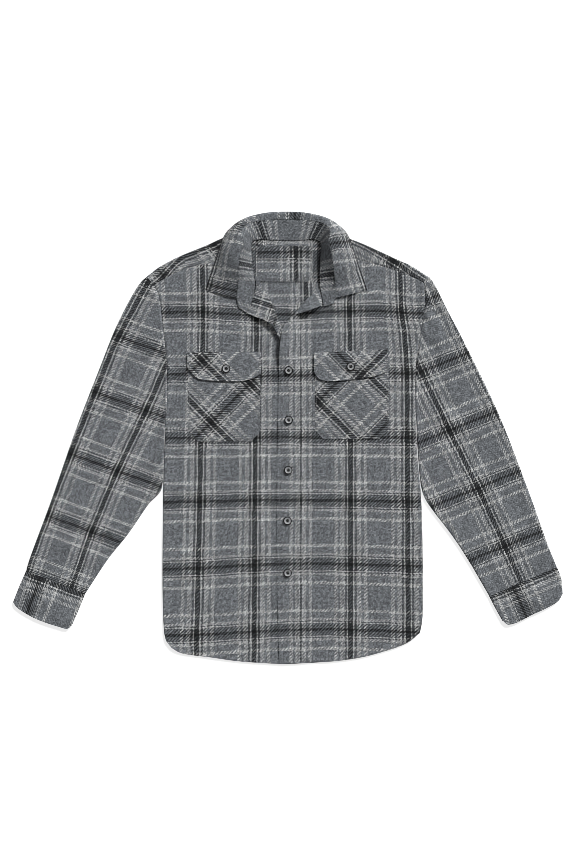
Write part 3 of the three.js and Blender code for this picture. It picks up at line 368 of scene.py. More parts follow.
def clothPiece(node, grids, wall="wall", closed=False):
    # one sheet from grids of points, each with its place in the pattern
    vertices, faces, corners = [], [], []
    for grid, pattern in grids:
        high, wide = grid.shape[:2]
        first = len(vertices)
        vertices.extend((grid.reshape(-1, 3) * mm).tolist())
        places = pattern.reshape(-1, 2) * mm
        for row in range(high - 1):
            for column in range(wide if closed else wide - 1):
                after = (column + 1) % wide
                face = [row * wide + column, (row + 1) * wide + column, (row + 1) * wide + after, row * wide + after]
                faces.append([first + corner for corner in face])
                corners.extend(places[corner] for corner in face)
    piece = meshPiece(f"{node}_cloth", vertices, faces)
    layer = piece.data.uv_layers.new(name="cloth")
    layer.data.foreach_set("uv", np.array(corners, np.float32).ravel())
    if len(grids) > 1 or closed:
        bpy.ops.object.mode_set(mode="EDIT")
        bpy.ops.mesh.select_all(action="SELECT")
        bpy.ops.mesh.remove_doubles(threshold=0.00002)
        bpy.ops.object.mode_set(mode="OBJECT")
    thicken = piece.modifiers.new("wall", "SOLIDIFY")
    thicken.thickness = cloth[wall] * mm
    thicken.offset = 0
    bpy.ops.object.modifier_apply(modifier=thicken.name)
    bpy.ops.object.shade_smooth_by_angle(angle=math.radians(50))
    piece.data.materials.append(materials["plaid_flannel"])
    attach(piece, "root")
    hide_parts(node)


def gridNormals(grid):
    down = np.gradient(grid, axis=0)
    along = np.gradient(grid, axis=1)
    normal = np.cross(down, along)
    normal /= np.maximum(np.linalg.norm(normal, axis=-1, keepdims=True), 1e-9)
    return np.where(normal[..., 2:].mean() < 0, -normal, normal)


def insetLine(grid, edge, inset):
    # a line on the grid at a distance in from one of its edges, with its normals
    both = np.concatenate([grid, gridNormals(grid)], axis=-1)
    turned = {"top": both, "bottom": both[::-1], "start": both.transpose(1, 0, 2),
              "end": both.transpose(1, 0, 2)[::-1]}[edge]
    steps = np.linalg.norm(np.diff(turned[..., :3], axis=0), axis=-1)
    reach = np.vstack([np.zeros(steps.shape[1]), np.cumsum(steps, axis=0)])
    return np.array([readAt([inset], reach[:, k], turned[:, k])[0] for k in range(turned.shape[1])])


stitch = {"length": 2.3, "pitch": 3.2, "width": 0.62, "height": 0.5}
stitchRows = []


def topstitch(grid, edges, inset, wall="wall", skip=0):
    # one stitch after another along edges of a grid, without the steps skipped at both ends
    for edge in edges:
        line = insetLine(grid, edge, inset)
        line = line[skip:len(line) - skip]
        reach = distancesOn(line, 3)
        for middle in np.arange(stitch["pitch"] / 2, reach[-1], stitch["pitch"]):
            ends = readAt([middle - stitch["length"] / 2, middle + stitch["length"] / 2], reach, line)
            normal = ends[:, 3:].mean(axis=0)
            normal /= np.linalg.norm(normal)
            lift = normal * cloth[wall] / 2
            stitchRows.append((ends[0, :3] + lift, ends[1, :3] + lift, normal))


def stitchPiece(name):
    # every stitch is a short thread with a raised middle
    vertices, faces = [], []
    for a, b, normal in stitchRows:
        along = b - a
        across = np.cross(along, normal)
        across *= stitch["width"] / 2 / np.linalg.norm(across)
        up = normal * stitch["height"]
        first = len(vertices)
        quarter = along * 0.22
        ring = [a - across * 0.6, a + across * 0.6, a + quarter + across, b - quarter + across,
                b + across * 0.6, b - across * 0.6, b - quarter - across, a + quarter - across]
        top = [a + quarter + up * 0.5, b - quarter + up * 0.5]
        vertices.extend([(p * mm).tolist() for p in [*ring, *top]])
        faces.extend([[first + k for k in face] for face in (
            (0, 7, 6, 5, 4, 3, 2, 1), (0, 1, 8), (1, 2, 8), (2, 3, 9, 8), (3, 4, 9), (4, 5, 9), (5, 6, 9),
            (6, 7, 8, 9), (7, 0, 8))])
    piece = meshPiece(name, vertices, faces)
    bpy.ops.object.shade_smooth()
    piece.data.materials.append(materials["thread"])
    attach(piece, "root")


# Materials

def nodeMaker(material):
    material.use_nodes = True
    tree = material.node_tree
    shader = tree.nodes["Principled BSDF"]

    def add(kind, **values):
        node = tree.nodes.new(kind)
        for name, value in values.items():
            setattr(node, name, value)
        return node

    def feed(socket, value):
        if isinstance(value, bpy.types.NodeSocket):
            tree.links.new(value, socket)
        else:
            socket.default_value = value

    def maths(operation, *values):
        node = add("ShaderNodeMath", operation=operation)
        for socket, value in zip(node.inputs, values):
            feed(socket, value)
        return node.outputs[0]

    def blend(kind, share, first, second):
        node = add("ShaderNodeMix", data_type="RGBA", blend_type=kind)
        feed(node.inputs[0], share)
        feed(node.inputs[6], first)
        feed(node.inputs[7], second)
        return node.outputs[2]

    def noise(vector, scale, detail=2.0, rough=0.5):
        node = add("ShaderNodeTexNoise")
        feed(node.inputs["Vector"], vector)
        node.inputs["Scale"].default_value = scale
        node.inputs["Detail"].default_value = detail
        node.inputs["Roughness"].default_value = rough
        return node.outputs[0]

    return tree, shader, add, feed, maths, blend, noise


yarns = {
    "plain": (0.128, 0.137, 0.148),
    "light": (0.375, 0.38, 0.375),
    "silver": (0.32, 0.325, 0.325),
    "charcoal": (0.034, 0.037, 0.04),
    "coal": (0.006, 0.0066, 0.0075),
    "black": (0.003, 0.0033, 0.0038),
}
# Stripes out from the middle of a dark stripe to the middle of the plain ground: where each ends, its yarn
warpStripes = [(4.2, "coal"), (6.6, "light"), (10.5, "charcoal"), (18.2, "silver"), (22.9, "plain"),
               (28.9, "silver"), (49.2, "plain")]
weftStripes = [(2.4, "black"), (11.2, "charcoal"), (13.2, "light"), (15.2, "charcoal"), (20.0, "silver"),
               (30.8, "plain"), (36.2, "light"), (57.8, "plain")]


def stripeRamp(add, feed, maths, place, half, stripes):
    distance = maths("PINGPONG", place, half)
    share = maths("DIVIDE", distance, half)
    ramp = add("ShaderNodeValToRGB")
    ramp.color_ramp.interpolation = "CONSTANT"
    stops = ramp.color_ramp.elements
    start = 0.0
    for number, (end, yarn) in enumerate(stripes):
        stop = stops[number] if number < 2 else stops.new(min(start / half, 0.999))
        stop.position = min(start / half, 0.999)
        stop.color = (*yarns[yarn], 1)
        start = end
    feed(ramp.inputs[0], share)
    return ramp.outputs[0]


def flannel(name):
    material = bpy.data.materials.new(name)
    tree, shader, add, feed, maths, blend, noise = nodeMaker(material)
    uv = add("ShaderNodeUVMap", uv_map="cloth").outputs[0]
    scaled = add("ShaderNodeVectorMath", operation="SCALE")
    feed(scaled.inputs[0], uv)
    scaled.inputs["Scale"].default_value = 1000
    flatPlace = scaled.outputs[0]
    # the laid cloth is never quite straight
    wander = add("ShaderNodeTexNoise", noise_dimensions="2D")
    feed(wander.inputs["Vector"], flatPlace)
    wander.inputs["Scale"].default_value = 0.03
    wander.inputs["Detail"].default_value = 1
    centred = add("ShaderNodeVectorMath", operation="SUBTRACT")
    feed(centred.inputs[0], wander.outputs["Color"])
    centred.inputs[1].default_value = (0.5, 0.5, 0.5)
    eased = add("ShaderNodeVectorMath", operation="MULTIPLY_ADD")
    feed(eased.inputs[0], centred.outputs[0])
    eased.inputs[1].default_value = (2.2, 2.2, 0)
    feed(eased.inputs[2], flatPlace)
    parts = add("ShaderNodeSeparateXYZ")
    feed(parts.inputs[0], eased.outputs[0])
    u, v = parts.outputs[0], parts.outputs[1]
    warp = stripeRamp(add, feed, maths, u, plaid["warpRepeat"] / 2, warpStripes)
    weft = stripeRamp(add, feed, maths, v, plaid["weftRepeat"] / 2, weftStripes)
    # two over, two under
    endNumber = maths("FLOOR", maths("DIVIDE", u, plaid["yarn"]))
    pickNumber = maths("FLOOR", maths("DIVIDE", v, plaid["yarn"]))
    step = maths("FLOORED_MODULO", maths("SUBTRACT", endNumber, pickNumber), 4.0)
    warpUp = maths("LESS_THAN", step, 1.5)
    woven = blend("MIX", maths("MULTIPLY_ADD", warpUp, 0.94, 0.03), weft, warp)
    # the nap of a dark yarn spreads over its neighbours
    darker = blend("DARKEN", 1.0, warp, weft)
    brightness = add("ShaderNodeRGBToBW")
    feed(brightness.inputs[0], darker)
    spreading = add("ShaderNodeClamp")
    feed(spreading.inputs[0], maths("MULTIPLY_ADD", brightness.outputs[0], -60.0, 0.78))
    woven = blend("MIX", spreading.outputs[0], woven, darker)
    # heathered yarn, brushed nap and slow cloudiness
    cell = add("ShaderNodeCombineXYZ")
    feed(cell.inputs[0], maths("FLOOR", maths("DIVIDE", endNumber, 2.0)))
    feed(cell.inputs[1], maths("FLOOR", maths("DIVIDE", pickNumber, 2.0)))
    speck = add("ShaderNodeTexWhiteNoise", noise_dimensions="2D")
    feed(speck.inputs["Vector"], cell.outputs[0])
    heather = maths("MULTIPLY_ADD", speck.outputs[0], 0.7, 0.65)
    nap = maths("MULTIPLY_ADD", noise(flatPlace, 0.42, 3.0, 0.8), 3.0, -0.5)
    cloud = maths("MULTIPLY_ADD", noise(flatPlace, 0.03, 2.0), 0.3, 0.85)
    shade = maths("MULTIPLY", maths("MULTIPLY", heather, nap), cloud)
    grey = add("ShaderNodeCombineXYZ")
    for socket in grey.inputs:
        feed(socket, shade)
    coloured = blend("MULTIPLY", 1.0, woven, grey.outputs[0])
    fuzzShare = maths("MULTIPLY", noise(flatPlace, 1.6, 3.0, 0.7), 0.06)
    fuzz = blend("MIX", fuzzShare, coloured, (0.2, 0.205, 0.21, 1))
    feed(shader.inputs["Base Color"], fuzz)
    shader.inputs["Roughness"].default_value = 0.92
    shader.inputs["Specular IOR Level"].default_value = 0.12
    shader.inputs["Sheen Weight"].default_value = 0.06
    shader.inputs["Sheen Roughness"].default_value = 0.5
    endRound = maths("ABSOLUTE", maths("SINE", maths("MULTIPLY", u, math.pi / plaid["yarn"])))
    pickRound = maths("ABSOLUTE", maths("SINE", maths("MULTIPLY", v, math.pi / plaid["yarn"])))
    rounded = add("ShaderNodeMix", data_type="FLOAT")
    feed(rounded.inputs[0], warpUp)
    feed(rounded.inputs[2], pickRound)
    feed(rounded.inputs[3], endRound)
    height = maths("ADD", rounded.outputs[0], maths("MULTIPLY", noise(flatPlace, 2.4, 3.0, 0.7), 1.4))
    bump = add("ShaderNodeBump")
    bump.inputs["Strength"].default_value = 0.6
    bump.inputs["Distance"].default_value = 0.0006
    feed(bump.inputs["Height"], height)
    feed(shader.inputs["Normal"], bump.outputs[0])
    return material


def plastic(name):
    material = bpy.data.materials.new(name)
    tree, shader, add, feed, maths, blend, noise = nodeMaker(material)
    place = add("ShaderNodeTexCoord").outputs["Object"]
    # dark plastic at the outer edge and in the middle, and a paler ring between them that is a painted highlight
    radial = add("ShaderNodeSeparateXYZ")
    feed(radial.inputs[0], add("ShaderNodeUVMap", uv_map="radial").outputs[0])
    ramp = add("ShaderNodeValToRGB")
    stops = ramp.color_ramp.elements
    stops[1].position = 0.94
    for position, tone in ((0, 0.012), (0.38, 0.012), (0.48, 0.3), (0.7, 0.3), (0.8, 0.016), (0.94, 0.01)):
        stop = stops[0] if position == 0 else stops[-1] if position == 0.94 else stops.new(position)
        stop.color = (tone, tone * 1.02, tone * 1.05, 1)
    feed(ramp.inputs[0], radial.outputs[0])
    swirl = add("ShaderNodeCombineXYZ")
    for socket in swirl.inputs:
        feed(socket, maths("MULTIPLY_ADD", noise(place, 260.0, 3.0, 0.6), 0.8, 0.6))
    feed(shader.inputs["Base Color"], blend("MULTIPLY", 1.0, ramp.outputs[0], swirl.outputs[0]))
    feed(shader.inputs["Roughness"], maths("MULTIPLY_ADD", noise(place, 900.0), 0.12, 0.16))
    shader.inputs["Specular IOR Level"].default_value = 0.5
    return material


def sewingThread(name, dark, pale):
    material = bpy.data.materials.new(name)
    tree, shader, add, feed, maths, blend, noise = nodeMaker(material)
    place = add("ShaderNodeTexCoord").outputs["Object"]
    feed(shader.inputs["Base Color"], blend("MIX", noise(place, 1500.0), dark, pale))
    shader.inputs["Roughness"].default_value = 0.7
    return material


materials = {
    "plaid_flannel": flannel("plaidFlannel"),
    "button": plastic("buttonPlastic"),
    "thread": sewingThread("sewingThread", (0.055, 0.058, 0.062, 1), (0.13, 0.135, 0.14, 1)),
    "darkThread": sewingThread("buttonThread", (0.008, 0.008, 0.009, 1), (0.03, 0.031, 0.032, 1)),
}
print("materials made")


# Fronts

def frontGrid(sideName):
    side = sides[sideName]
    sideLine = sideLineFrom(side, side["yokeEnd"])
    seam, hem, opening = (smoothLine(side[line]) for line in ("yokeSeam", "hem", "opening"))
    across = round(lengthOf(hem) / cloth["step"])
    down = round(lengthOf(sideLine) / cloth["step"])
    top, bottom = spreadAlong(seam, across), spreadAlong(hem, across)
    start, end = spreadAlong(sideLine, down), spreadAlong(opening, down)
    start[0], end[0], bottom[0], bottom[-1] = top[0], top[-1], start[-1], end[-1]
    plan = fillEdges(top, bottom, start, end)
    x, y = planOf(plan)
    fromSide, fromTop, fromHem = (planGap(plan, line) for line in (plan[:, :1], plan[:1], plan[-1:]))
    level = turnedSide(frontHeight(x, y, fromSide), fromSide, fromHem) + armholeSeam(fromSide, y)
    if side["out"] > 0:
        # the left front rises to the placket, less so where the placket turns back
        fromBand = np.maximum(x - cloth["bandSeamX"], 0)
        ramp = cloth["placket"] - cloth["front"] - smoothStep(y, 182, 225) * 1.5
        level = level + np.maximum(ramp, 0) * bell(fromBand, 9)
        level = level - 0.5 * bell(fromBand, 1.2) * (y < 200)
    level = level + besideSeam("frontTop", fromTop) + besideSeam("hem", fromHem)
    return np.stack([x, y, level], axis=-1), frontCloth(sideName, x, y)


for name in sides:
    front = frontGrid(name)
    topstitch(front[0], ["bottom"], 7.5)
    clothPiece(f"front_{name}", [front])
print("fronts made")


# Back panel, flat on the floor, its sides turned up to the side seams

backSeam = [(-230.6, 245), (-150, 262), (-60, 279), (-3, 280.5), (54, 279), (150, 262), (247.5, 246)]


def backGrid():
    hem = smoothLine([*rightSide["hem"], (30, -406), *leftSide["hem"][:-1][::-1]])
    across, down = 92, 128
    top, bottom = spreadAlong(smoothLine(backSeam), across), spreadAlong(hem, across)
    start, end = (spreadAlong(sideLineFrom(side, cloth["backArmhole"]), down) for side in (rightSide, leftSide))
    top[0], top[-1], bottom[0], bottom[-1] = start[0], end[0], start[-1], end[-1]
    plan = fillEdges(top, bottom, start, end)
    flat = np.full(plan.shape[:2], cloth["back"])
    grid = np.dstack([plan, turnedSide(flat, fromEnds(plan), planGap(plan, plan[-1:]))])
    return grid, straightCloth(grid, (-65.5, 222))


clothPiece("back_panel", [backGrid()])
print("back made")


# Yoke: its back part lies on the floor and its fronts fold over the shoulders

def yokeFront(side):
    fine = (0, 0.7, 1.4, 2.2, 4, 7.5)
    across = 42
    radius = cloth["foldRadius"]
    crest = spreadAlong(smoothLine(side["shoulder"]), across, fine)
    foot = spreadAlong(smoothLine(side["yokeSeam"]), across, fine)
    foot[0] = alongLine(smoothLine(side["armhole"]), [side["yokeEnd"]])[0]
    down = foot - crest
    down /= np.linalg.norm(down, axis=1, keepdims=True)
    rows = []
    for angle in np.radians(np.linspace(-90, 90, 11)):
        plan = crest + down * radius * (1 - math.cos(angle))
        level = np.full(len(plan), cloth["back"] + radius + radius * math.sin(angle))
        rows.append(np.column_stack([plan, level]))
    for share in (0.1, 0.22, 0.36, 0.5, 0.64, 0.76, 0.86, 0.93, 0.97, 1):
        plan = (crest + down * radius) * (1 - share) + foot * share
        edge = np.minimum(planGap(plan, crest), planGap(plan, foot[0]))
        edge[0] = 0
        level = frontHeight(plan[:, 0], plan[:, 1], edge) + besideSeam("yokeFoot", planGap(plan, foot))
        rows.append(np.column_stack([plan, level]))
    return np.array(rows)


def yokeBack(rightTop, leftTop):
    neck = smoothLine([rightTop[-1], (-52, 361.5, 0.6), (-3, 361, 0.6), (46, 361.5, 0.6), leftTop[-1]])
    top = np.vstack([rightTop, spreadAlong(neck, 26, (0, 4))[1:-1], leftTop[::-1]])
    seam = smoothLine(backSeam)
    bottom = alongLine(seam, shareOf(top) * lengthOf(seam))
    lines = [bottom]
    for side in (rightSide, leftSide):
        steps = np.linspace(cloth["foldRadius"], cloth["backArmhole"], 10)
        lines.append(alongLine(smoothLine(side["armhole"]), steps))
    bottom, start, end = (np.column_stack([line, np.full(len(line), cloth["back"])]) for line in lines)
    start[0], end[0] = top[0], top[-1]
    bottom[0], bottom[-1] = start[-1], end[-1]
    back = fillEdges(top, bottom, start, end)
    back[..., 2] = cloth["back"]
    return back


# How far below the shoulder fold the dark warp stripe runs, at places along X, and where a black weft line crosses
yokeStripes = {
    "right": {"x": (-231, -216.5, -202, -187.7, -173, -70), "drop": (20.3, 15, 6.3, 3.1, 2.7, 2.5),
         "cross": (-122.2, 336.7), "turn": 39, "scale": 1.07},
    "left": {"x": (60, 148, 168.8, 192.6, 212.2, 225.7, 240), "drop": (-6, 0, 2.8, 5.6, 10.2, 13, 12),
        "cross": (187.4, 312.9), "turn": -28, "scale": 1},
}


def yokeCloth(grid, stripes):
    # cut across the grain: warp stripes run along the shoulders
    below = planGap(grid, grid[5:6])
    below[:5] *= -1
    across = below - np.interp(grid[..., 0], stripes["x"], stripes["drop"])
    along = turnedCloth(grid, stripes["cross"], stripes["turn"])[..., 0]
    return np.stack([across, along * stripes["scale"]], axis=-1)


yokeFronts = {name: yokeFront(side) for name, side in sides.items()}
yokeCross = {"warpY": 268.8, "weftX": -55.6, "scale": 1.044}
grid = yokeBack(yokeFronts["right"][0], yokeFronts["left"][0])
x, y = planOf(grid)
yokeParts = [(grid, np.stack([y - yokeCross["warpY"], (x - yokeCross["weftX"]) * yokeCross["scale"]], axis=-1))]
for name, grid in yokeFronts.items():
    ordered = grid[:, ::-1] if name == "right" else grid
    yokeParts.append((ordered, yokeCloth(ordered, yokeStripes[name])))
    topstitch(grid, ["bottom"], 3.0)
clothPiece("yoke", yokeParts)
print("yoke made")


# Patch inside the back neck

neckPatch = {"left": -57.4, "right": 43, "cornerTop": 291, "cornerTall": 9.4, "leftIn": 7.9, "rightIn": 7,
             "cross": (14.6, 334.5)}


def patchGrid():
    rows = []
    for y in np.concatenate([[345, 344.3, 343], np.linspace(340, 292, 14), [289, 286, 284, 282.6, 281.6]]):
        corner = max(0.0, (neckPatch["cornerTop"] - y) / neckPatch["cornerTall"]) ** 2
        left = neckPatch["left"] + neckPatch["leftIn"] * corner
        right = neckPatch["right"] - neckPatch["rightIn"] * corner
        across = spread(right - left, 24, (0, 0.7, 1.6, 3))
        level = cloth["back"] + cloth["layer"] - 0.25 * bell(across - 2, 1)
        rows.append(np.column_stack([left + across, np.full(len(across), y), level]))
    return np.array(rows)


grid = patchGrid()
topstitch(grid, ["start", "bottom", "end"], 2.5)
clothPiece("neck_patch", [(grid, straightCloth(grid, neckPatch["cross"]))])


# Sleeves and cuffs: flattened tubes

cuffLift = {"from": 15, "to": 36, "under": 2.9, "sleeveTop": 2.6, "cuffTop": 3.0, "cuffLevel": 4.6}
sleeveFolds = {
    "right": [
        (-243, 262, 150, 18, 5, 1.3, 0),
        (-238, 205, 52, 18, 5, 1.4, 0),
        (-236, 176, 75, 20, 5.5, 1.3, 0),
        (-262, 190, 64, 60, 12, 1.6, 0),
        (-246, 236, 40, 30, 7, 1.3, 0),
        (-240, 150, 70, 40, 8, 1.2, 0),
        (-318, 60, 20, 42, 13, 1.8, 0),
        (-280, 10, 34, 50, 12, 1.6, 6),
        (-352, -70, -24, 46, 12, 1.7, 0),
        (-300, -90, 52, 60, 14, 1.4, -5),
        (-404, -190, -22, 40, 11, 1.5, 0),
        (-380, -150, 60, 70, 12, 1.2, 0),
    ],
    "left": [
        (249, 254, 112, 20, 5, 1.5, 0),
        (256, 226, 58, 16, 4.5, 1.4, 0),
        (247, 192, 124, 17, 4.5, 1.3, 0),
        (262, 280, 40, 14, 5, 1.1, 0),
        (272, 176, 118, 60, 12, 1.6, 0),
        (262, 246, 142, 26, 6, 1.6, 0),
        (256, 214, 160, 22, 6, 1.3, 0),
        (316, 20, 156, 42, 13, 1.8, 0),
        (278, 40, 140, 50, 12, 1.6, -6),
        (366, -96, 24, 44, 12, 1.6, 0),
        (318, -60, 126, 66, 14, 1.4, 5),
        (414, -206, 26, 40, 11, 1.5, 0),
        (392, -140, 118, 70, 12, 1.2, 0),
    ],
}
# rows turn from along the armhole to across the sleeve within the underarm
outerShares = (0, 0.05, 0.11, 0.18, 0.27, 0.37, 0.47, 0.57, 0.67, 0.77, 0.87, 0.94, 1)
innerShares = (0, 0.015, 0.035, 0.07, 0.12, 0.19, 0.28, 0.4, 0.53, 0.67, 0.81, 0.91, 1)


def squareFold(plan, steps):
    # the underarm fold's columns stand square to its edge, and the cloth beside them settles evenly
    edge = plan[:, -1]
    along = np.gradient(edge, axis=0)
    along /= np.linalg.norm(along, axis=1, keepdims=True)
    inward = np.stack([along[:, 1], -along[:, 0]], axis=1)
    inward *= np.sign((inward * (plan[:, -20] - edge)).sum(axis=1, keepdims=True))
    for column, step in enumerate(steps):
        plan[1:-1, -1 - column] = edge[1:-1] + inward[1:-1] * step
    first, last = len(steps), plan.shape[1] - len(steps)
    for _ in range(50):
        middle = (plan[:-2, 1:-1] + plan[2:, 1:-1] + plan[1:-1, :-2] + plan[1:-1, 2:]) / 4
        plan[1:-1, first:last] = middle[:, first - 1:last - 1]


photoScale = {"mm": 1.8, "x": 287.9, "y": 437.85}


def sleeveCloth(sideName, x, y):
    # warp lines follow the arm and lean out towards the shoulder, read in the photo's pixels along and across it
    px, py = x / photoScale["mm"] + photoScale["x"], photoScale["y"] - y / photoScale["mm"]
    if sideName == "right":
        along = -0.342 * px + 0.940 * py
        across = 0.940 * px + 0.342 * py
        darkWarp = np.interp(along, (213, 236, 291, 338, 404, 470, 521),
                             (292, 288, 280.5, 277.8, 271.2, 267.9, 268.2))
        spacing = np.interp(along, (273, 337, 405, 467), (55.9, 54.2, 49.8, 47.7))
        weft = np.interp(along, (151, 212, 275.6, 336, 402.5, 468.5, 530), (-2, -1, 0, 1, 2, 3, 4))
    else:
        along = 0.3746 * px + 0.9272 * py
        across = 0.9272 * px - 0.3746 * py
        darkWarp = np.interp(along, (400, 509, 572, 637, 704, 734), (246, 251.6, 255.6, 260.8, 264, 265.1))
        spacing = np.full_like(along, 54.6)
        weft = np.interp(along, (376, 438, 502.5, 567.5, 631.5, 695.5, 760), (-2, -1, 0, 1, 2, 3, 4))
    return np.stack([(across - darkWarp) / spacing * plaid["warpRepeat"], -weft * plaid["weftRepeat"]], axis=-1)


def tubeOf(plan, topLevel, lowLevel, pattern):
    # the upper layer from edge to edge, then the lower one back
    edge = fromEnds(plan)
    over, under = (np.dstack([plan, roundedLevel(level, edge)]) for level in (topLevel(edge), lowLevel))
    underPattern = pattern.copy()
    underPattern[..., 0] = 2 * pattern[:, -1:, 0] - pattern[..., 0]
    ring = np.concatenate([over, under[:, ::-1]], axis=1)
    return ring, np.concatenate([pattern, underPattern[:, ::-1]], axis=1)


def cuffBulge(side, plan):
    # the cloth lifts over the button under the cuff
    gap = np.linalg.norm(plan - np.array(side["cuffButtonAt"]), axis=-1)
    return 1 - smoothStep(gap, cuffLift["from"], cuffLift["to"])


tubeEdge = (0, 0.25, 0.7, 1.3, 1.9, 3.2, 5.5)


def straightAcross(first, last, count):
    width = np.linalg.norm(first - last)
    return first + (last - first) * (spread(width, count, tubeEdge) / width)[:, None]


def sleeveGrid(sideName):
    side = sides[sideName]
    armhole, outer, inner = (smoothLine(side[line]) for line in ("armhole", "sleeveOuter", "sleeveInner"))
    across, down = 58, 132
    top = spreadAlong(armhole, across, tubeEdge)
    top[-1] = inner[0]
    shares = spread(lengthOf(outer), down) / lengthOf(outer)
    knots = np.linspace(0, 1, len(outerShares))
    start = alongLine(outer, np.interp(shares, knots, outerShares) * lengthOf(outer))
    end = alongLine(inner, np.interp(shares, knots, innerShares) * lengthOf(inner))
    plan = fillEdges(top, straightAcross(start[-1], end[-1], across), start, end)
    squareFold(plan, tubeEdge)
    x, y = planOf(plan)
    fromArmhole, fromCuff = planGap(plan, plan[:1]), planGap(plan, plan[-1:])
    bulge = cuffBulge(side, plan)

    def topLevel(edge):
        base = cloth["front"] + (cloth["sleeve"] - cloth["front"]) * smoothStep(fromArmhole, 0, 60)
        nearest = np.minimum(edge, fromArmhole)
        calm = 1 - bell(nearest, 6)
        lift = cloth["edgeRise"] * bell(nearest, cloth["edgeSpread"])
        groove = armholeSeam(fromArmhole, y) - 0.5 * bell(fromCuff, 1.4)
        gathers = 0.5 * np.sin(edge * 0.42 + 1.3 * np.sin(edge * 0.13)) * bell(fromCuff, 16) * calm
        creases = ridge(x, y, sleeveFolds[sideName]) * calm
        return base + lift + creases + groove + gathers + bulge * cuffLift["sleeveTop"]

    return tubeOf(plan, topLevel, cloth["back"] + bulge * cuffLift["under"], sleeveCloth(sideName, x, y))


def cuffGrid(sideName):
    side = sides[sideName]
    outer, inner, edgeLine = (smoothLine(side[line]) for line in ("cuffOuter", "cuffInner", "cuffEnd"))
    across, down, fine = 44, 16, (0, 0.7, 1.5, 3, 5)
    start, end = spreadAlong(outer, down, fine), spreadAlong(inner, down, fine)
    bottom = spreadAlong(edgeLine, across, tubeEdge)
    bottom[0], bottom[-1] = start[-1], end[-1]
    plan = fillEdges(straightAcross(start[0], end[0], across), bottom, start, end)
    fromSeam, fromEnd = planGap(plan, plan[:1]), planGap(plan, plan[-1:])
    bulge = cuffBulge(side, plan)

    def topLevel(edge):
        groove = besideSeam("cuffSeam", fromSeam) + besideSeam("cuffEnd", fromEnd)
        return cuffLift["cuffLevel"] + bulge * cuffLift["cuffTop"] + groove

    pattern = turnedCloth(plan, side["cuffCross"], side["cuffTurn"])
    return tubeOf(plan, topLevel, cloth["cuffWall"] / 2 + bulge * cuffLift["under"], pattern)


for name in sides:
    clothPiece(f"sleeve_{name}", [sleeveGrid(name)], closed=True)
    tube = cuffGrid(name)
    upper = tube[0][:, :tube[0].shape[1] // 2]
    topstitch(upper, ["top", "bottom"], 5.5, "cuffWall", 4)
    clothPiece(f"cuff_{name}", [tube], "cuffWall", closed=True)
print("sleeves and cuffs made")


# Placket and button band with their turned-back lapels

# free y and x, seam y and x, free height, seam height
placketRows = [
    (-406.6, -15.6, -405, 22, 4.0, 4.0), (-300, -18.4, -300, 22.1, 4.0, 4.0), (-190, -19.4, -190, 22.2, 4.0, 4.0),
    (-80, -19.4, -80, 22.3, 4.0, 4.0), (30, -17.6, 30, 22.4, 4.0, 4.0), (92, -16.8, 92, 22.4, 4.2, 4.0),
    (122, -16.4, 122, 22.4, 5.2, 4.0), (140, -15.9, 140, 22.4, 8.5, 4.0), (156, -15.2, 156, 22.4, 12.5, 4.0),
    (171, -13.9, 173, 22.4, 14, 4.0), (196, -8.8, 200, 22.4, 11.5, 4.0), (210.5, 2.5, 221, 22.4, 8.4, 4.1),
    (222, 13.3, 236, 21.4, 6.5, 4.3),
]
leftLapel = {
    "free": [(13.3, 222, 6.5), (28.3, 225.8, 13), (44, 231, 15), (60.6, 238, 8)],
    "fold": [(21.4, 236, 4.3), (27.4, 243.4, 5.0), (44.3, 258, 5.2), (55.8, 266, 4.8)],
    "neck": [(60.6, 238, 5.4), (60.2, 251, 5), (55.8, 266, 4.8)],
}
bandRows = [
    (-402, 20, -403.5, -14.6, 2.4, 2.4), (-250, 20, -250, -14.6, 2.4, 2.4), (-100, 20, -100, -14.6, 2.4, 2.4),
    (40, 20, 40, -14.6, 2.4, 2.4), (146, 18, 146, -14.4, 2.4, 2.4), (164, 8, 161, -13.8, 3.2, 3.2),
    (188, -6.4, 173.2, -12.6, 4.3, 6.4),
]
rightLapel = {
    "free": [(-12.6, 173.2, 6.4), (-18.5, 185, 9.5), (-27, 200.5, 11.5), (-39.4, 210.3, 11), (-58.1, 217.5, 8.6),
             (-73, 224, 5.0)],
    "fold": [(-6.4, 188, 4.3), (-12, 201, 4.9), (-19.8, 218, 5.4), (-29.5, 243, 5.6), (-47, 273.5, 5.2),
             (-62, 300, 4.8)],
    "neck": [(-73, 224, 5.0), (-63.6, 246, 4.7), (-57.4, 276, 4.8), (-62, 300, 4.8)],
}


def evenlyAlong(line, count):
    return alongLine(line, np.linspace(0, lengthOf(line), count))


def bandStrip(rows, across):
    table = np.array(rows)
    free = smoothLine(np.column_stack([table[:, 1], table[:, 0], table[:, 4]]))
    seam = smoothLine(np.column_stack([table[:, 3], table[:, 2], table[:, 5]]))
    down = round(lengthOf(seam) / 5)
    freePoints, seamPoints = evenlyAlong(free, down), evenlyAlong(seam, down)
    width = np.linalg.norm(freePoints[:, :2] - seamPoints[:, :2], axis=1)
    shares = np.array([spread(w, across, (0, 0.6, 1.4, 2.4, 4)) / w for w in width])[..., None]
    return freePoints[:, None] * (1 - shares) + seamPoints[:, None] * shares


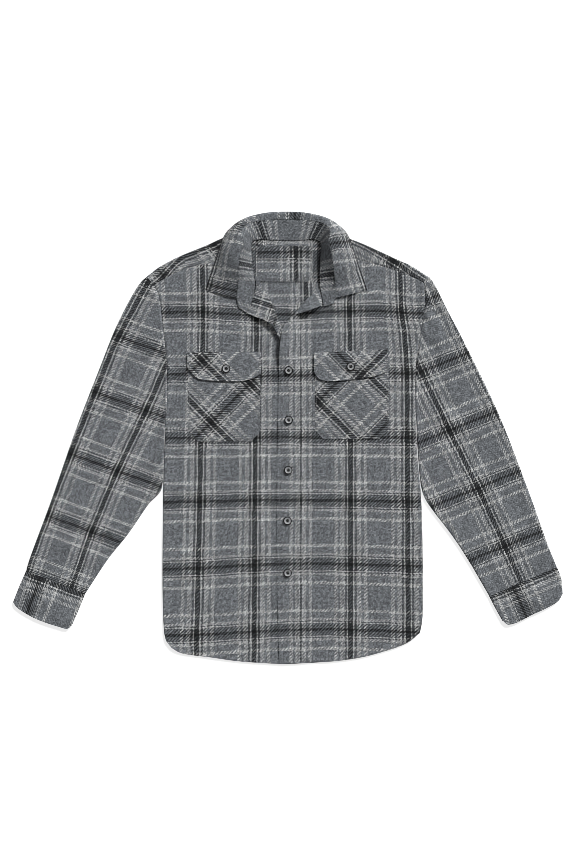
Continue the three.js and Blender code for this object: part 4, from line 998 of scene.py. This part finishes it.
def lapelGrid(tip, lapel):
    # from the strip's end, ordered from the free edge to the fold, back over to the neck
    down = 34
    free, fold, neck = (smoothLine(lapel[line]) for line in ("free", "fold", "neck"))
    start, end = evenlyAlong(free, down), evenlyAlong(fold, down)
    bottom = alongLine(neck, shareOf(tip) * lengthOf(neck))
    start[0], end[0], start[-1], end[-1] = tip[0], tip[-1], bottom[0], bottom[-1]
    grid = fillEdges(tip, bottom, start, end)
    wave = [np.sin(np.linspace(0, math.pi, count)) for count in grid.shape[:2]]
    grid[..., 2] += 0.9 * (wave[1][None] * wave[0][:, None])
    return grid


def stripCloth(grid, warpX):
    x, y = planOf(grid)
    return np.stack([x - warpX, weftPlace(x, y)], axis=-1)


strip = bandStrip(placketRows, 10)
fromFree, fromSeam = planGap(strip, strip[:, :1]), planGap(strip, strip[:, -1:])
strip[..., 2] += cloth["placketRise"] + besideSeam("bandFree", fromFree) + besideSeam("bandSeam", fromSeam)
lapel = lapelGrid(strip[-1], leftLapel)
# the last pair moves the lapel's pattern to the middle of the plain ground
parts = [(strip, stripCloth(strip, 31.7)), (lapel, turnedCloth(lapel, (36, 237), 118) + (49.2, 57.8))]
topstitch(strip, ["start", "end"], 4.5)
clothPiece("placket", parts)

strip = bandStrip(bandRows, 9)
lapel = lapelGrid(strip[-1, ::-1], rightLapel)[:, ::-1]
lapelCloth = turnedCloth(lapel, (-57.4, 246.3), -109) * (1, -1) + (0, 43.9)
clothPiece("button_band", [(strip, stripCloth(strip, -59)), (lapel, lapelCloth)])
print("placket and button band made")


# Collar: stand with its tabs, and leaf

collarMiddle = -3.1
# out from the middle, y and z of the neck seam, then of the leaf seam
standRows = [
    (60.8, 303, 4.6, 85, 305.7, 25), (62.3, 326, 3.8, 81, 331, 29), (63.8, 342, 3.4, 75.5, 347, 30),
    (61.5, 353.5, 3.4, 79, 370, 27), (50, 357.4, 2.6, 66, 384.9, 14), (25.6, 356.8, 2.2, 34.6, 391.8, 7),
]
standMiddle = (0, 356.4, 2.1, 0, 392.5, 6)
tabRows = {
    "right": [(71.5, 225, 4.8, 86, 236, 5.2), (61.8, 247, 4.8, 88.2, 250, 6.2), (56.4, 277, 4.9, 86.5, 277, 12)],
    "left": [(68, 237, 4.8, 86, 242, 5.2), (65.2, 252, 4.8, 88, 254, 6.2), (61, 277, 4.9, 87, 279, 12)],
}
# leaf: out, y and z of its seam, its crest, its outer turn and its free edge
leafRows = [
    (88.4, 252, 6.0, 101, 255, 7, 131, 262, 5.6, 145.8, 266, 4.8),
    (87.4, 278, 12.6, 99, 281, 13, 124, 286, 7.8, 138, 289.5, 5.0),
    (85.4, 306, 25.6, 95, 309, 24.4, 117, 312, 15.5, 129.2, 314, 5.6),
    (81.2, 331.2, 29.3, 91, 335, 29.4, 112, 335.5, 20.5, 121, 336.3, 7.2),
    (75.8, 347.3, 30.3, 86.5, 350.5, 30.4, 106, 353, 21, 114.1, 357, 8.4),
    (79.3, 370.3, 27.3, 89, 374, 26, 100.5, 375, 16, 102, 375, 6),
    (66.2, 385.3, 14.4, 76, 391.5, 15, 83.5, 388.5, 5, 77, 376.5, 1.2),
    (34.7, 392.1, 7.4, 39, 403.5, 8, 42, 401.5, 1.6, 36.4, 374, 0.6),
]
leafMiddle = (0, 392.8, 6.4, 0, 406.4, 6, 0, 403, 1.2, 0, 373, 0.6)


def mirroredRow(row, out):
    return tuple(collarMiddle + out * value if k % 3 == 0 else value for k, value in enumerate(row))


def alongRows(rows, steps):
    # smooth lines through the rows' points, one for each group of three values
    table = np.array(rows)
    lines = []
    for first in range(0, table.shape[1], 3):
        smooth = smoothLine(table[:, first:first + 3])
        lines.append(readAt(np.linspace(0, len(smooth) - 1, steps), np.arange(len(smooth)), smooth))
    return np.array(lines)


def bothSides(rows, middle, steps):
    right = [mirroredRow(row, -1) for row in rows["right"]]
    left = [mirroredRow(row, 1) for row in rows["left"]][::-1]
    return alongRows([*right, mirroredRow(middle, 1), *left], steps)


def standGrid():
    low, high = bothSides({name: [*tabRows[name], *standRows] for name in sides}, standMiddle, 181)
    shares = np.array([0, 0.02, 0.05, 0.1, 0.2, 0.3, 0.4, 0.5, 0.6, 0.7, 0.8, 0.88, 0.94, 0.98, 1])[:, None, None]
    return low[None] * (1 - shares) + high[None] * shares


def leafGrid():
    lines = bothSides({name: leafRows for name in sides}, leafMiddle, 161)
    shares = np.concatenate([[0, 0.02, 0.05, 0.09], np.linspace(0.13, 0.9, 16), [0.93, 0.96, 0.98, 1]])
    columns = []
    for step in range(lines.shape[1]):
        section = smoothLine(lines[:, step])
        reach = distancesOn(section, 3)
        points = readAt(shares * reach[-1], reach, section)
        points[:, 2] = np.maximum(points[:, 2], cloth["back"])
        columns.append(points)
    return np.array(columns).transpose(1, 0, 2)


def middleRow(grid):
    return grid[len(grid) // 2]


def reachAlong(row):
    reach = distancesOn(row, 3)
    return reach - reach[len(reach) // 2]


def reachAt(row, out, y):
    # how far along the collar the row passes a height on one side
    reach, half = reachAlong(row), len(row) // 2
    part = slice(half, None) if out > 0 else slice(half, None, -1)
    return np.interp(-y, -row[part, 1], reach[part])


def depthDown(grid):
    steps = np.linalg.norm(np.diff(grid, axis=0), axis=2)
    return np.concatenate([np.zeros((1, grid.shape[1])), np.cumsum(steps, axis=0)])


def collarStripes(grid, places, repeat):
    # places: how far along the collar each dark stripe crosses it
    reach = reachAlong(middleRow(grid))
    across = np.interp(reach, places, np.arange(len(places)) * repeat)
    across += np.minimum(reach - places[0], 0) + np.maximum(reach - places[-1], 0)
    return np.broadcast_to(across[None], grid.shape[:2])


stand = standGrid()
standPlaces = [reachAt(middleRow(stand), -1, 311), -44.4, 56.4, reachAt(middleRow(stand), 1, 293)]
standPattern = np.stack([collarStripes(stand, standPlaces, plaid["warpRepeat"]), depthDown(stand) + 42], axis=-1)
clothPiece("collar_stand", [(stand, standPattern)])
leaf = leafGrid()
leafPlaces = [reachAt(middleRow(leaf), -1, 270), -98, 17.7, reachAt(middleRow(leaf), 1, 349.8)]
fromEdge = depthDown(leaf)[-1:] - depthDown(leaf)
leafPattern = np.stack([fromEdge + 1.5, collarStripes(leaf, leafPlaces, plaid["weftRepeat"])], axis=-1)
topstitch(leaf, ["bottom"], 5.5)
clothPiece("collar_leaf", [(leaf, leafPattern)])
print("collar made")


# Pockets and flaps, cut on the bias

pockets = {
    "right": {"left": -179.3, "right": -50.4, "lowLeft": -162, "lowRight": -67, "clip": (9.8, 9.8), "foot": -6.5,
              "cross": (-138, 28.2)},
    "left": {"left": 49.3, "right": 181.1, "lowLeft": 63.4, "lowRight": 164, "clip": (14.5, 15.5), "foot": -2.5,
             "cross": (53.7, 65.4)},
}
flapShapes = {
    "right": {"top": [(-181.6, 154.2), (-48.1, 154.2)],
              "bottom": [(-181, 125.8), (-164, 107.9), (-134, 102.7), (-102.4, 101.4), (-78.8, 102.7), (-61, 107.9),
                         (-49.1, 116.2)],
              "cross": (-154, 139), "button": (-111.2, 124.5)},
    "left": {"top": [(46.8, 152.9), (179.3, 159.9)],
             "bottom": [(46.8, 119.8), (54, 107.9), (69.3, 102.2), (113, 105), (158, 111.5), (175.9, 119.8),
                        (180.5, 131.7)],
             "cross": (131, 111.5), "button": (113, 128.2)},
}


def pocketGrid(shape):
    rows = []
    height = 141 - shape["foot"]
    downs = spread(height, 34, (0, 0.7, 1.5, 2.5, 4, 6))
    for down in downs:
        y = 141 - down
        left, right = shape["left"], shape["right"]
        if y < shape["clip"][0]:
            share = (shape["clip"][0] - y) / (shape["clip"][0] - shape["foot"])
            left += (shape["lowLeft"] - shape["left"]) * share
        if y < shape["clip"][1]:
            share = (shape["clip"][1] - y) / (shape["clip"][1] - shape["foot"])
            right += (shape["lowRight"] - shape["right"]) * share
        across = spread(right - left, 32, (0, 0.7, 1.5, 2.5, 4, 6))
        x = left + across
        edge = np.minimum(np.minimum(across, right - left - across), y - shape["foot"])
        puff = 0.7 * (1 - bell(edge, 22))
        level = frontHeight(x, np.full_like(x, y)) + cloth["layer"] + puff + besideSeam("pocket", edge)
        rows.append(np.column_stack([x, np.full_like(x, y), level]))
    return np.array(rows)


def flapGrid(shape):
    across, down = 34, 14
    top = smoothLine(shape["top"])
    bottom = smoothLine(shape["bottom"])
    upper, lower = (spreadAlong(line, across, (0, 0.7, 1.5, 2.5, 4)) for line in (top, bottom))
    shares = np.concatenate([[0, 0.02, 0.05, 0.1], np.linspace(0.16, 0.84, down), [0.9, 0.94, 0.97, 1]])
    shares = shares[:, None, None]
    plan = upper[None] * (1 - shares) + lower[None] * shares
    x, y = plan[..., 0], plan[..., 1]
    fromTop, fromFoot = planGap(plan, plan[:1]), planGap(plan, plan[-1:])
    layers = 1 + smoothStep(fromTop, 0, 8)
    level = frontHeight(x, y) + cloth["layer"] * layers + 0.5
    level = level + 0.9 * smoothStep(fromTop, 6, 30) * (1 - smoothStep(fromFoot, 0, 1))
    level = level + besideSeam("flapFoot", fromFoot)
    return np.stack([x, y, level], axis=-1)


def diagonalCloth(grid, shape, warpFalls):
    # the dark warp runs down to the right when it falls, or else down to the left
    dx, dy = planOf(straightCloth(grid, shape["cross"]))
    falling, rising = (dx + dy) / math.sqrt(2), (dx - dy) / math.sqrt(2)
    return np.stack([falling, rising] if warpFalls else [rising, falling], axis=-1)


buttonPlaces = []
for name in sides:
    grid = pocketGrid(pockets[name])
    topstitch(grid, ["start", "end", "bottom"], 2.2)
    clothPiece(f"pocket_{name}", [(grid, diagonalCloth(grid, pockets[name], True))])
    shape = flapShapes[name]
    grid = flapGrid(shape)
    topstitch(grid, ["bottom"], 5.5)
    topstitch(grid, ["top"], 3.5)
    clothPiece(f"flap_{name}", [(grid, diagonalCloth(grid, shape, name == "right"))])
    gap = np.linalg.norm(grid[..., :2] - np.array(shape["button"]), axis=-1)
    top = grid[..., 2].ravel()[gap.argmin()]
    buttonPlaces.append((f"button_flap_{name}", (*shape["button"], top + cloth["wall"] / 2)))
print("pockets made")

stitchPiece("topstitching")


# Buttons: a dished disc with a rounded rim, four holes and a cross of thread

button = {
    "radius": 7.75,
    "thickness": 3.2,
    "rim": 2.3,
    "slope": 0.9,
    "dish": 1.0,
    "round": 1.0,
    "holeRadius": 0.85,
    "holeOut": 1.5,
    "threadRadius": 0.45,
    "threadSpan": 2.82,
    "threadUp": 0.15,
    "cuffThickness": 2.4,
    "cuffScale": 11.5 / 15,
}


def makeButton():
    radius, height = button["radius"] * mm, button["thickness"] * mm
    bpy.ops.object.select_all(action="DESELECT")
    bpy.ops.mesh.primitive_cylinder_add(vertices=48, radius=radius, depth=height, location=(0, 0, height / 2))
    disc = bpy.context.active_object
    bpy.ops.object.transform_apply(location=True, rotation=True, scale=True)
    bpy.ops.object.mode_set(mode="EDIT")
    bpy.ops.mesh.select_all(action="DESELECT")
    bpy.ops.object.mode_set(mode="OBJECT")
    for face in disc.data.polygons:
        face.select = face.normal.z > 0.9
    bpy.ops.object.mode_set(mode="EDIT")
    bpy.ops.mesh.select_mode(type="FACE")
    bpy.ops.mesh.inset(thickness=button["rim"] * mm)
    bpy.ops.mesh.inset(thickness=button["slope"] * mm, depth=-button["dish"] * mm)
    bpy.ops.object.mode_set(mode="OBJECT")
    edges = disc.modifiers.new("edges", "BEVEL")
    edges.width = button["round"] * mm
    edges.segments = 4
    edges.limit_method = "ANGLE"
    edges.angle_limit = math.radians(60)
    bpy.ops.object.modifier_apply(modifier=edges.name)
    for x, y in ((1, 1), (1, -1), (-1, 1), (-1, -1)):
        bpy.ops.mesh.primitive_cylinder_add(vertices=16, radius=button["holeRadius"] * mm, depth=3 * height,
                                            location=(x * button["holeOut"] * mm, y * button["holeOut"] * mm, 0))
        drill = bpy.context.active_object
        selectOnly(disc)
        hole = disc.modifiers.new("hole", "BOOLEAN")
        hole.object = drill
        hole.operation = "DIFFERENCE"
        hole.solver = "EXACT"
        bpy.ops.object.modifier_apply(modifier=hole.name)
        bpy.data.objects.remove(drill)
    bpy.ops.object.shade_smooth_by_angle(angle=math.radians(35))
    while disc.data.uv_layers:
        disc.data.uv_layers.remove(disc.data.uv_layers[0])
    layer = disc.data.uv_layers.new(name="radial")
    for loop in disc.data.loops:
        x, y, z = disc.data.vertices[loop.vertex_index].co
        layer.data[loop.index].uv = (math.hypot(x, y) / radius, z / height)
    disc.data.materials.append(materials["button"])
    return disc


def makeThreadCross():
    height = (button["thickness"] - button["dish"]) * mm
    bars = []
    for turn in (45, -45):
        bpy.ops.object.select_all(action="DESELECT")
        bpy.ops.mesh.primitive_cylinder_add(vertices=10, radius=button["threadRadius"] * mm,
                                            depth=button["threadSpan"] * button["holeOut"] * mm,
                                            location=(0, 0, height + button["threadUp"] * mm),
                                            rotation=(math.radians(90), 0, math.radians(turn)))
        bpy.ops.object.transform_apply(location=True, rotation=True, scale=True)
        bars.append(bpy.context.active_object)
    for bar in bars:
        bar.select_set(True)
    bpy.context.view_layer.objects.active = bars[0]
    bpy.ops.object.join()
    cross = bpy.context.active_object
    bpy.ops.object.shade_smooth_by_angle(angle=math.radians(60))
    cross.data.materials.append(materials["darkThread"])
    return cross


buttonModel = makeButton()
threadModel = makeThreadCross()
placketTop = cloth["placket"] + cloth["placketRise"] + cloth["wall"] / 2
frontButtons = [(1.4, 121.2, 0.7), (1.3, 32.1, 0), (0.7, -58.1, 0), (-0.7, -149.3, 0), (-0.4, -243.1, 0)]
for number, (x, y, raised) in enumerate(frontButtons):
    buttonPlaces.append((f"button_front_{number + 1}", (x, y, placketTop + raised)))
for name in sides:
    buttonPlaces.append((f"button_cuff_{name}", (*sides[name]["cuffButtonAt"], button["cuffThickness"])))


def placeCopy(model, name, at, turn, flip):
    copy = model.copy()
    copy.data = model.data.copy()
    copy.name = name
    bpy.context.scene.collection.objects.link(copy)
    selectOnly(copy)
    if flip:
        copy.scale = (button["cuffScale"], button["cuffScale"], button["cuffThickness"] / button["thickness"])
    copy.rotation_euler = (math.pi if flip else 0, 0, turn)
    copy.location = (at[0] * mm, at[1] * mm, at[2] * mm)
    bpy.ops.object.transform_apply(location=True, rotation=True, scale=True)
    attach(copy, "root")
    return copy


rng = random.Random(7)
for name, at in buttonPlaces:
    turn = rng.uniform(-0.5, 0.5)
    # cuff buttons are small and face the floor
    flip = "cuff" in name
    disc = placeCopy(buttonModel, f"{name}_disc", at, turn, flip)
    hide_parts(name)
    cross = placeCopy(threadModel, f"{name}_thread", at, turn, flip)
bpy.data.objects.remove(buttonModel)
bpy.data.objects.remove(threadModel)
print("buttons made")


# Floor, light and camera

bpy.ops.object.select_all(action="DESELECT")
bpy.ops.mesh.primitive_plane_add(size=24, location=(0, 0, -0.0003))
floor = bpy.context.active_object
floor.name = "studioFloor"
floorMaterial = bpy.data.materials.new("paleFloor")
floorMaterial.use_nodes = True
floorShader = floorMaterial.node_tree.nodes["Principled BSDF"]
floorShader.inputs["Base Color"].default_value = (0.35, 0.35, 0.35, 1)
floorShader.inputs["Emission Color"].default_value = (1, 1, 1, 1)
floorShader.inputs["Emission Strength"].default_value = 0.72
floorShader.inputs["Roughness"].default_value = 0.9
floorShader.inputs["Specular IOR Level"].default_value = 0.0
floor.data.materials.append(floorMaterial)

bpy.context.scene.view_settings.view_transform = "Standard"
world = bpy.data.worlds.new("studioSky")
bpy.context.scene.world = world
world.use_nodes = True
background = world.node_tree.nodes["Background"]
background.inputs["Color"].default_value = (1, 1, 1, 1)
background.inputs["Strength"].default_value = 0.28

bpy.ops.object.light_add(type="SUN", location=(1.25, 1.9, 1.65))
windowLight = bpy.context.active_object
windowLight.name = "windowLight"
windowLight.data.energy = 4.7
windowLight.data.angle = math.radians(14)
windowLight.rotation_euler = (-windowLight.location).to_track_quat("-Z", "Y").to_euler()

view = {"x": 0.00018, "y": 0.01053, "plane": 0.004, "tall": 1.5552, "lens": 85, "sensor": 36}
bpy.ops.object.camera_add()
camera = bpy.context.active_object
camera.data.lens = view["lens"]
camera.data.sensor_width = view["sensor"]
distance = view["tall"] / 2 / (view["sensor"] / 2 / view["lens"])
camera.location = (view["x"], view["y"], distance + view["plane"])
camera.rotation_euler = (0, 0, 0)
camera.data.clip_end = 20
bpy.context.scene.camera = camera
bpy.context.scene.cycles.filter_width = 0.6
print("studio made")
